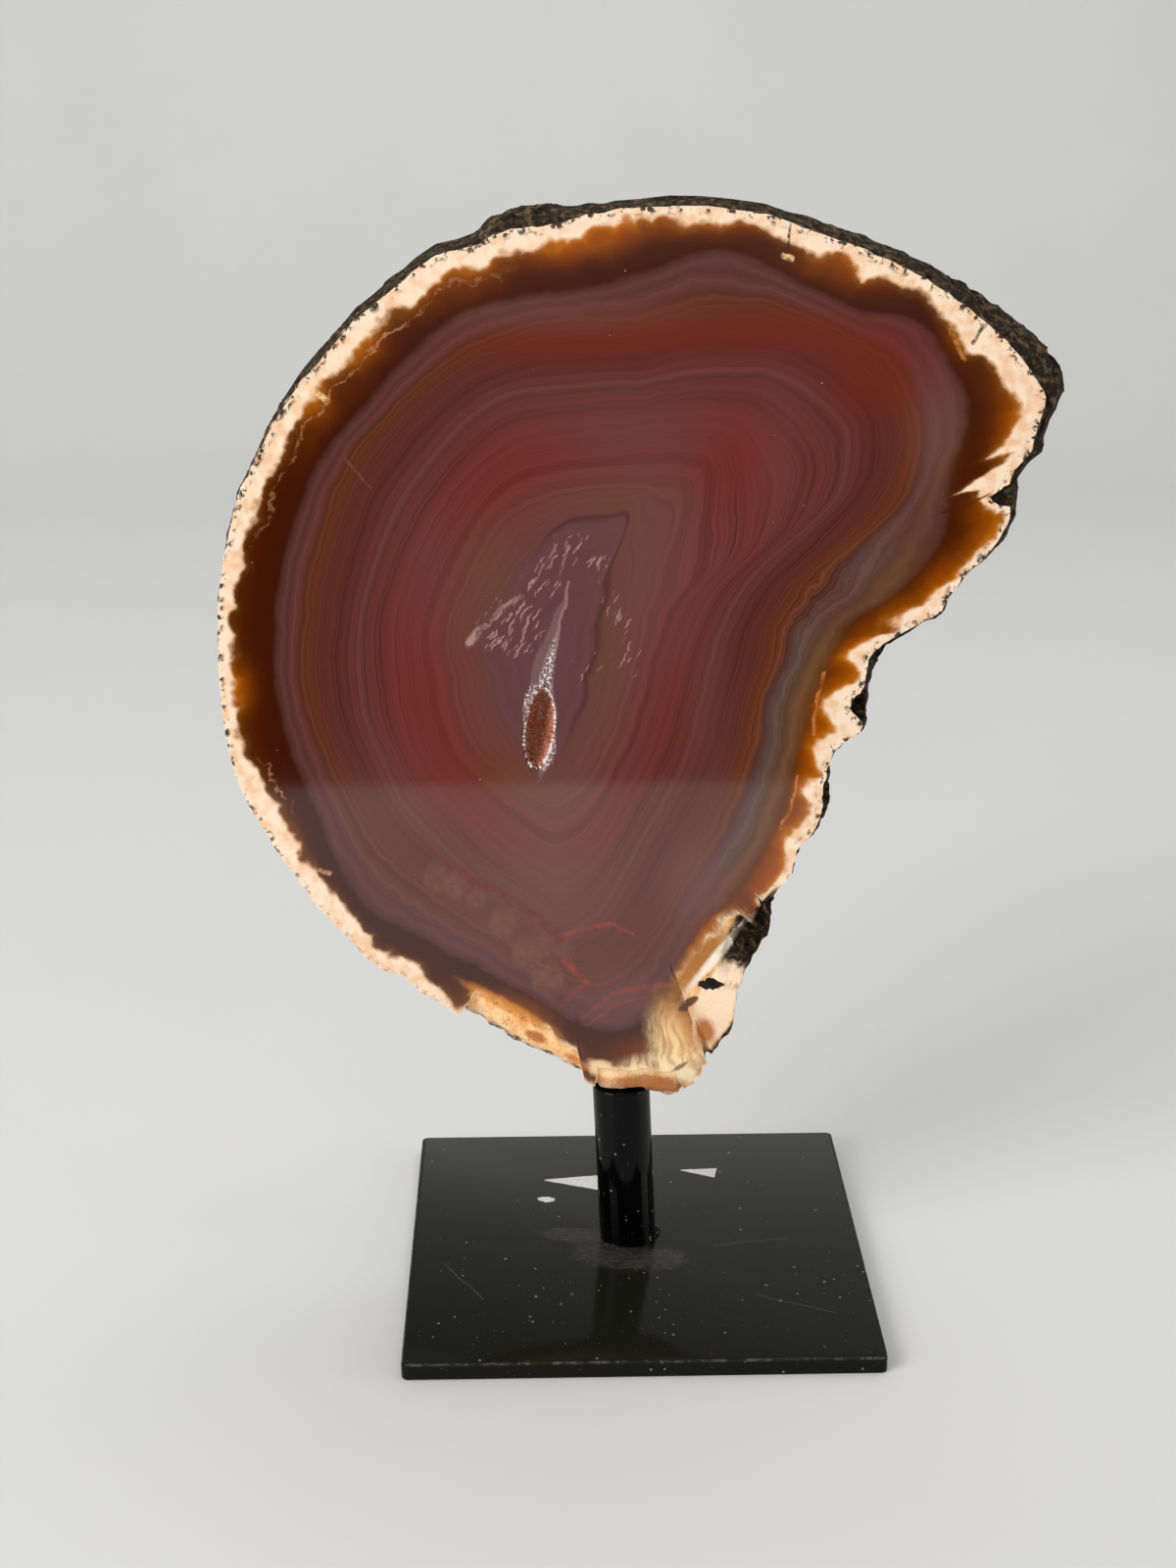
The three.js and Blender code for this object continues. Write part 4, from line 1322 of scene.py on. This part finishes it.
# The plate's black: fine dust and a painted reflection of the pale wall.
PLATE_BLACK_DUST_AND_REFLECTION = pigment(23, 23, 18)
SCUFF = pigment(70, 66, 62)
RESIDUE = pigment(196, 194, 188)
DUST_TONE = pigment(120, 116, 108)
WORN_STEEL = pigment(104, 102, 98)
PLATE_TOP = plate_high.z / MM
RESIDUE_FLAKE = ((-15.9, 14.5, PLATE_TOP), (1.6, 1.0, 1.0), 20, 0.9)
RESIDUE_SHARDS = [((-1.0, 20.2), (-16.2, 22.0), [(0, 3.6), (0.3, 3.0), (1, 0.2)]),
                  ((16.2, 23.9), (9.6, 25.2), [(0, 1.9), (1, 0.1)])]
SCUFF_PATCHES = [
    ((-8.4, 0.4, PLATE_TOP), (8.5, 2.6, 1.0), 14, 1.1), ((-3.0, -6.0, PLATE_TOP), (8.0, 4.6, 1.0), 18, 1.1),
    ((4.0, -7.4, PLATE_TOP), (4.4, 3.6, 1.0), 0, 1.0),
]
PLATE_SCRATCHES = [[(14.0, -3.0, 0), (27.0, -1.0, 0)], [(20.0, -20.0, 0), (33.0, -26.0, 0)],
                   [(-34.0, -8.0, 0), (-27.0, -20.0, 0)]]


def paint_finish():
    """Satin black paint with its dust, scuffs, residue and worn edges, and a painted wall reflection on the
    plate.
    """
    material, tree, shader = new_material("black_paint")
    place = place_mm(tree)
    tear = torn(place)
    parts = parts_of(place)
    on_post = ease(parts["Z"], PLATE_TOP, PLATE_TOP + 0.8)
    scuffs = largest(*[patch(place, tear, *mark, 0.3) for mark in SCUFF_PATCHES])
    scratch = cloud(stretched(place, (0.5, 2.6, 1.0)), 1.2, 4.0, 0.7)
    scuffs = times(scuffs, ease(scratch, 0.35, 0.7, 0.1, 0.8))
    # The plate is lighter and olive, as fine dust and a painted reflection of the wall; the post stays plain
    # black.
    colour = blend(scuffs, blend(on_post, PLATE_BLACK_DUST_AND_REFLECTION, BLACK), SCUFF)
    flakes = patch(place, tear, *RESIDUE_FLAKE, 0.12)
    flat = new_node("CombineXYZ", place)
    feed(flat.inputs["X"], parts["X"])
    feed(flat.inputs["Z"], parts["Y"])
    for foot, tip, half_widths in RESIDUE_SHARDS:
        inside = scaled(tear, 0.6, spindle(flat.outputs[0], foot, tip, half_widths))
        flakes = largest(flakes, ease(inside, -0.15, 0.2))
    on_plate = calc("SUBTRACT", 1.0, on_post)
    flakes = times(flakes, on_plate, ease(scratch, 0.3, 0.55, 0.75, 1.0))
    colour = blend(flakes, colour, RESIDUE)
    for corners in PLATE_SCRATCHES:
        mark = crack(swayed(place, 0.2, 1.2), corners, 0.22, (1, 1, 0))
        colour = blend(times(mark, 0.12), colour, DUST_TONE)
    front_share = ease(parts["Y"], -38.0, 20.0, 0.85, 0.25)
    fine_specks = dust(tree, times(front_share, 0.3), 0.2, 1.2)
    specks = largest(dust(tree, front_share, 0.17), times(fine_specks, 0.6))
    colour = blend(times(specks, 0.85), colour, DUST_TONE)
    reach = largest(calc("ABSOLUTE", parts["X"]), calc("ABSOLUTE", parts["Y"]))
    rim = ease(reach, plate_high.x / MM - 0.4, plate_high.x / MM - 0.12)
    rim = times(rim, ease(parts["Z"], PLATE_TOP - 0.5, PLATE_TOP - 0.2))
    worn = times(rim, ease(cloud(place, 0.5, 5.0, 0.7), 0.45, 0.62, 0.05, 0.5))
    colour = blend(worn, colour, WORN_STEEL)
    feed(shader.inputs["Base Color"], colour)
    matt = largest(scuffs, flakes)
    gloss = scaled(cloud(place, 0.5, 3.0), 0.06, 0.07)
    feed(shader.inputs["Roughness"], scaled(matt, 0.55, gloss))
    bump = new_node("Bump", place)
    bump.inputs["Distance"].default_value = 0.02 * MM
    bump.inputs["Strength"].default_value = 0.4
    feed(bump.inputs["Height"], cloud(place, 1.1, 3.0, 0.6))
    feed(shader.inputs["Normal"], bump.outputs[0])
    feed(shader.inputs["Specular IOR Level"], scaled(on_post, 0.07, 0.06))
    return material


black_paint = paint_finish()
print("paint finish:", len(black_paint.node_tree.nodes), "nodes")
for piece, node_name in ((plate, "base_plate"), (post, "post")):
    piece.data.materials.clear()
    piece.data.materials.append(black_paint)
    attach(piece, "root")
    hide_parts(node_name)

# %% [markdown]
# ## Floor
# A pale floor sweeps up into a pale wall. The floor ends a little in front of the stand, as a table does,
# so the polished face mirrors it only in its lower part. A second sheet carries the floor on for the other
# views, and the stone's mirror doesn't see that one.

# %% Floor
FLOOR_SIDE = 1.6
FLOOR_FRONT = -0.272
FLOOR_BACK = 1.1
WALL_TOP = 1.3
SWEEP_RADIUS = 0.45
floor = added("studio_floor", bpy.ops.mesh.primitive_plane_add, size=1)
for vertex in floor.data.vertices:
    vertex.co.x *= 2 * FLOOR_SIDE
    vertex.co.y = FLOOR_FRONT if vertex.co.y < 0 else FLOOR_BACK
select_edges(floor, lambda a, b: min(a.y, b.y) > FLOOR_BACK - MM)
bpy.ops.mesh.extrude_region_move(TRANSFORM_OT_translate={"value": (0, 0, WALL_TOP)})
settle(floor)
select_edges(floor, lambda a, b: min(a.y, b.y) > FLOOR_BACK - MM and max(a.z, b.z) < MM)
bpy.ops.mesh.bevel(offset=SWEEP_RADIUS, segments=24)
settle(floor)
bpy.ops.object.shade_smooth()
apron = added("studio_apron", bpy.ops.mesh.primitive_plane_add, size=1)
for vertex in apron.data.vertices:
    vertex.co.x *= 2 * FLOOR_SIDE
    vertex.co.y = FLOOR_FRONT - 2 * FLOOR_SIDE if vertex.co.y < 0 else FLOOR_FRONT
apron.visible_glossy = False


def floor_finish():
    """Matt pale board."""
    material, tree, shader = new_material("pale_board")
    place = place_mm(tree)
    tone = blend(cloud(place, 0.01, 3.0), pigment(192, 192, 190), pigment(198, 197, 195))
    feed(shader.inputs["Base Color"], tone)
    shader.inputs["Roughness"].default_value = 0.6
    return material


pale_board = floor_finish()
for sheet in (floor, apron):
    sheet.data.materials.append(pale_board)
print("floor ends in front at %.0f mm" % (FLOOR_FRONT / MM))

# %% [markdown]
# ## Light
# A large soft light stands at the left as a window does, a weak one hangs overhead, and a small one at the
# right fills the broken corner. The air around is pale, a little brighter behind the stand and dark below
# the floor, but the camera always sees it bright.


# %% Light
def soft_box(name, place, aim, width, power):
    """A large square light that faces a point."""
    lamp = added(name, bpy.ops.object.light_add, type="AREA", location=place)
    lamp.data.size = width
    lamp.data.energy = power
    lamp.rotation_euler = (Vector(aim) - Vector(place)).to_track_quat("-Z", "Y").to_euler()


soft_box("window_left", (-1.0, -0.75, 0.75), (0, 0, 0.1), 0.8, 20)
soft_box("overhead", (0.1, 0.25, 1.25), (0, 0, 0), 1.0, 7)
soft_box("fill_right", (0.9, -0.1, 0.12), (0.02, 0, 0.06), 0.5, 4)
world = bpy.data.worlds.new("studio_air")
bpy.context.scene.world = world
world.use_nodes = True
air = world.node_tree
backing = air.nodes["Background"]
way = air.nodes.new("ShaderNodeTexCoord")
parts = parts_of(way.outputs["Generated"])
behind = ease(parts["Y"], -0.5, 0.6, 0.4, 0.6)
below = ease(parts["Z"], -0.2, -0.02, 0.03, 1.0)
behind = times(behind, below)
seen = air.nodes.new("ShaderNodeLightPath").outputs["Is Camera Ray"]
feed(backing.inputs["Color"], (0.97, 0.985, 1.0, 1.0))
feed(backing.inputs["Strength"], largest(behind, times(seen, 0.8)))
bpy.context.scene.view_settings.view_transform = "Standard"
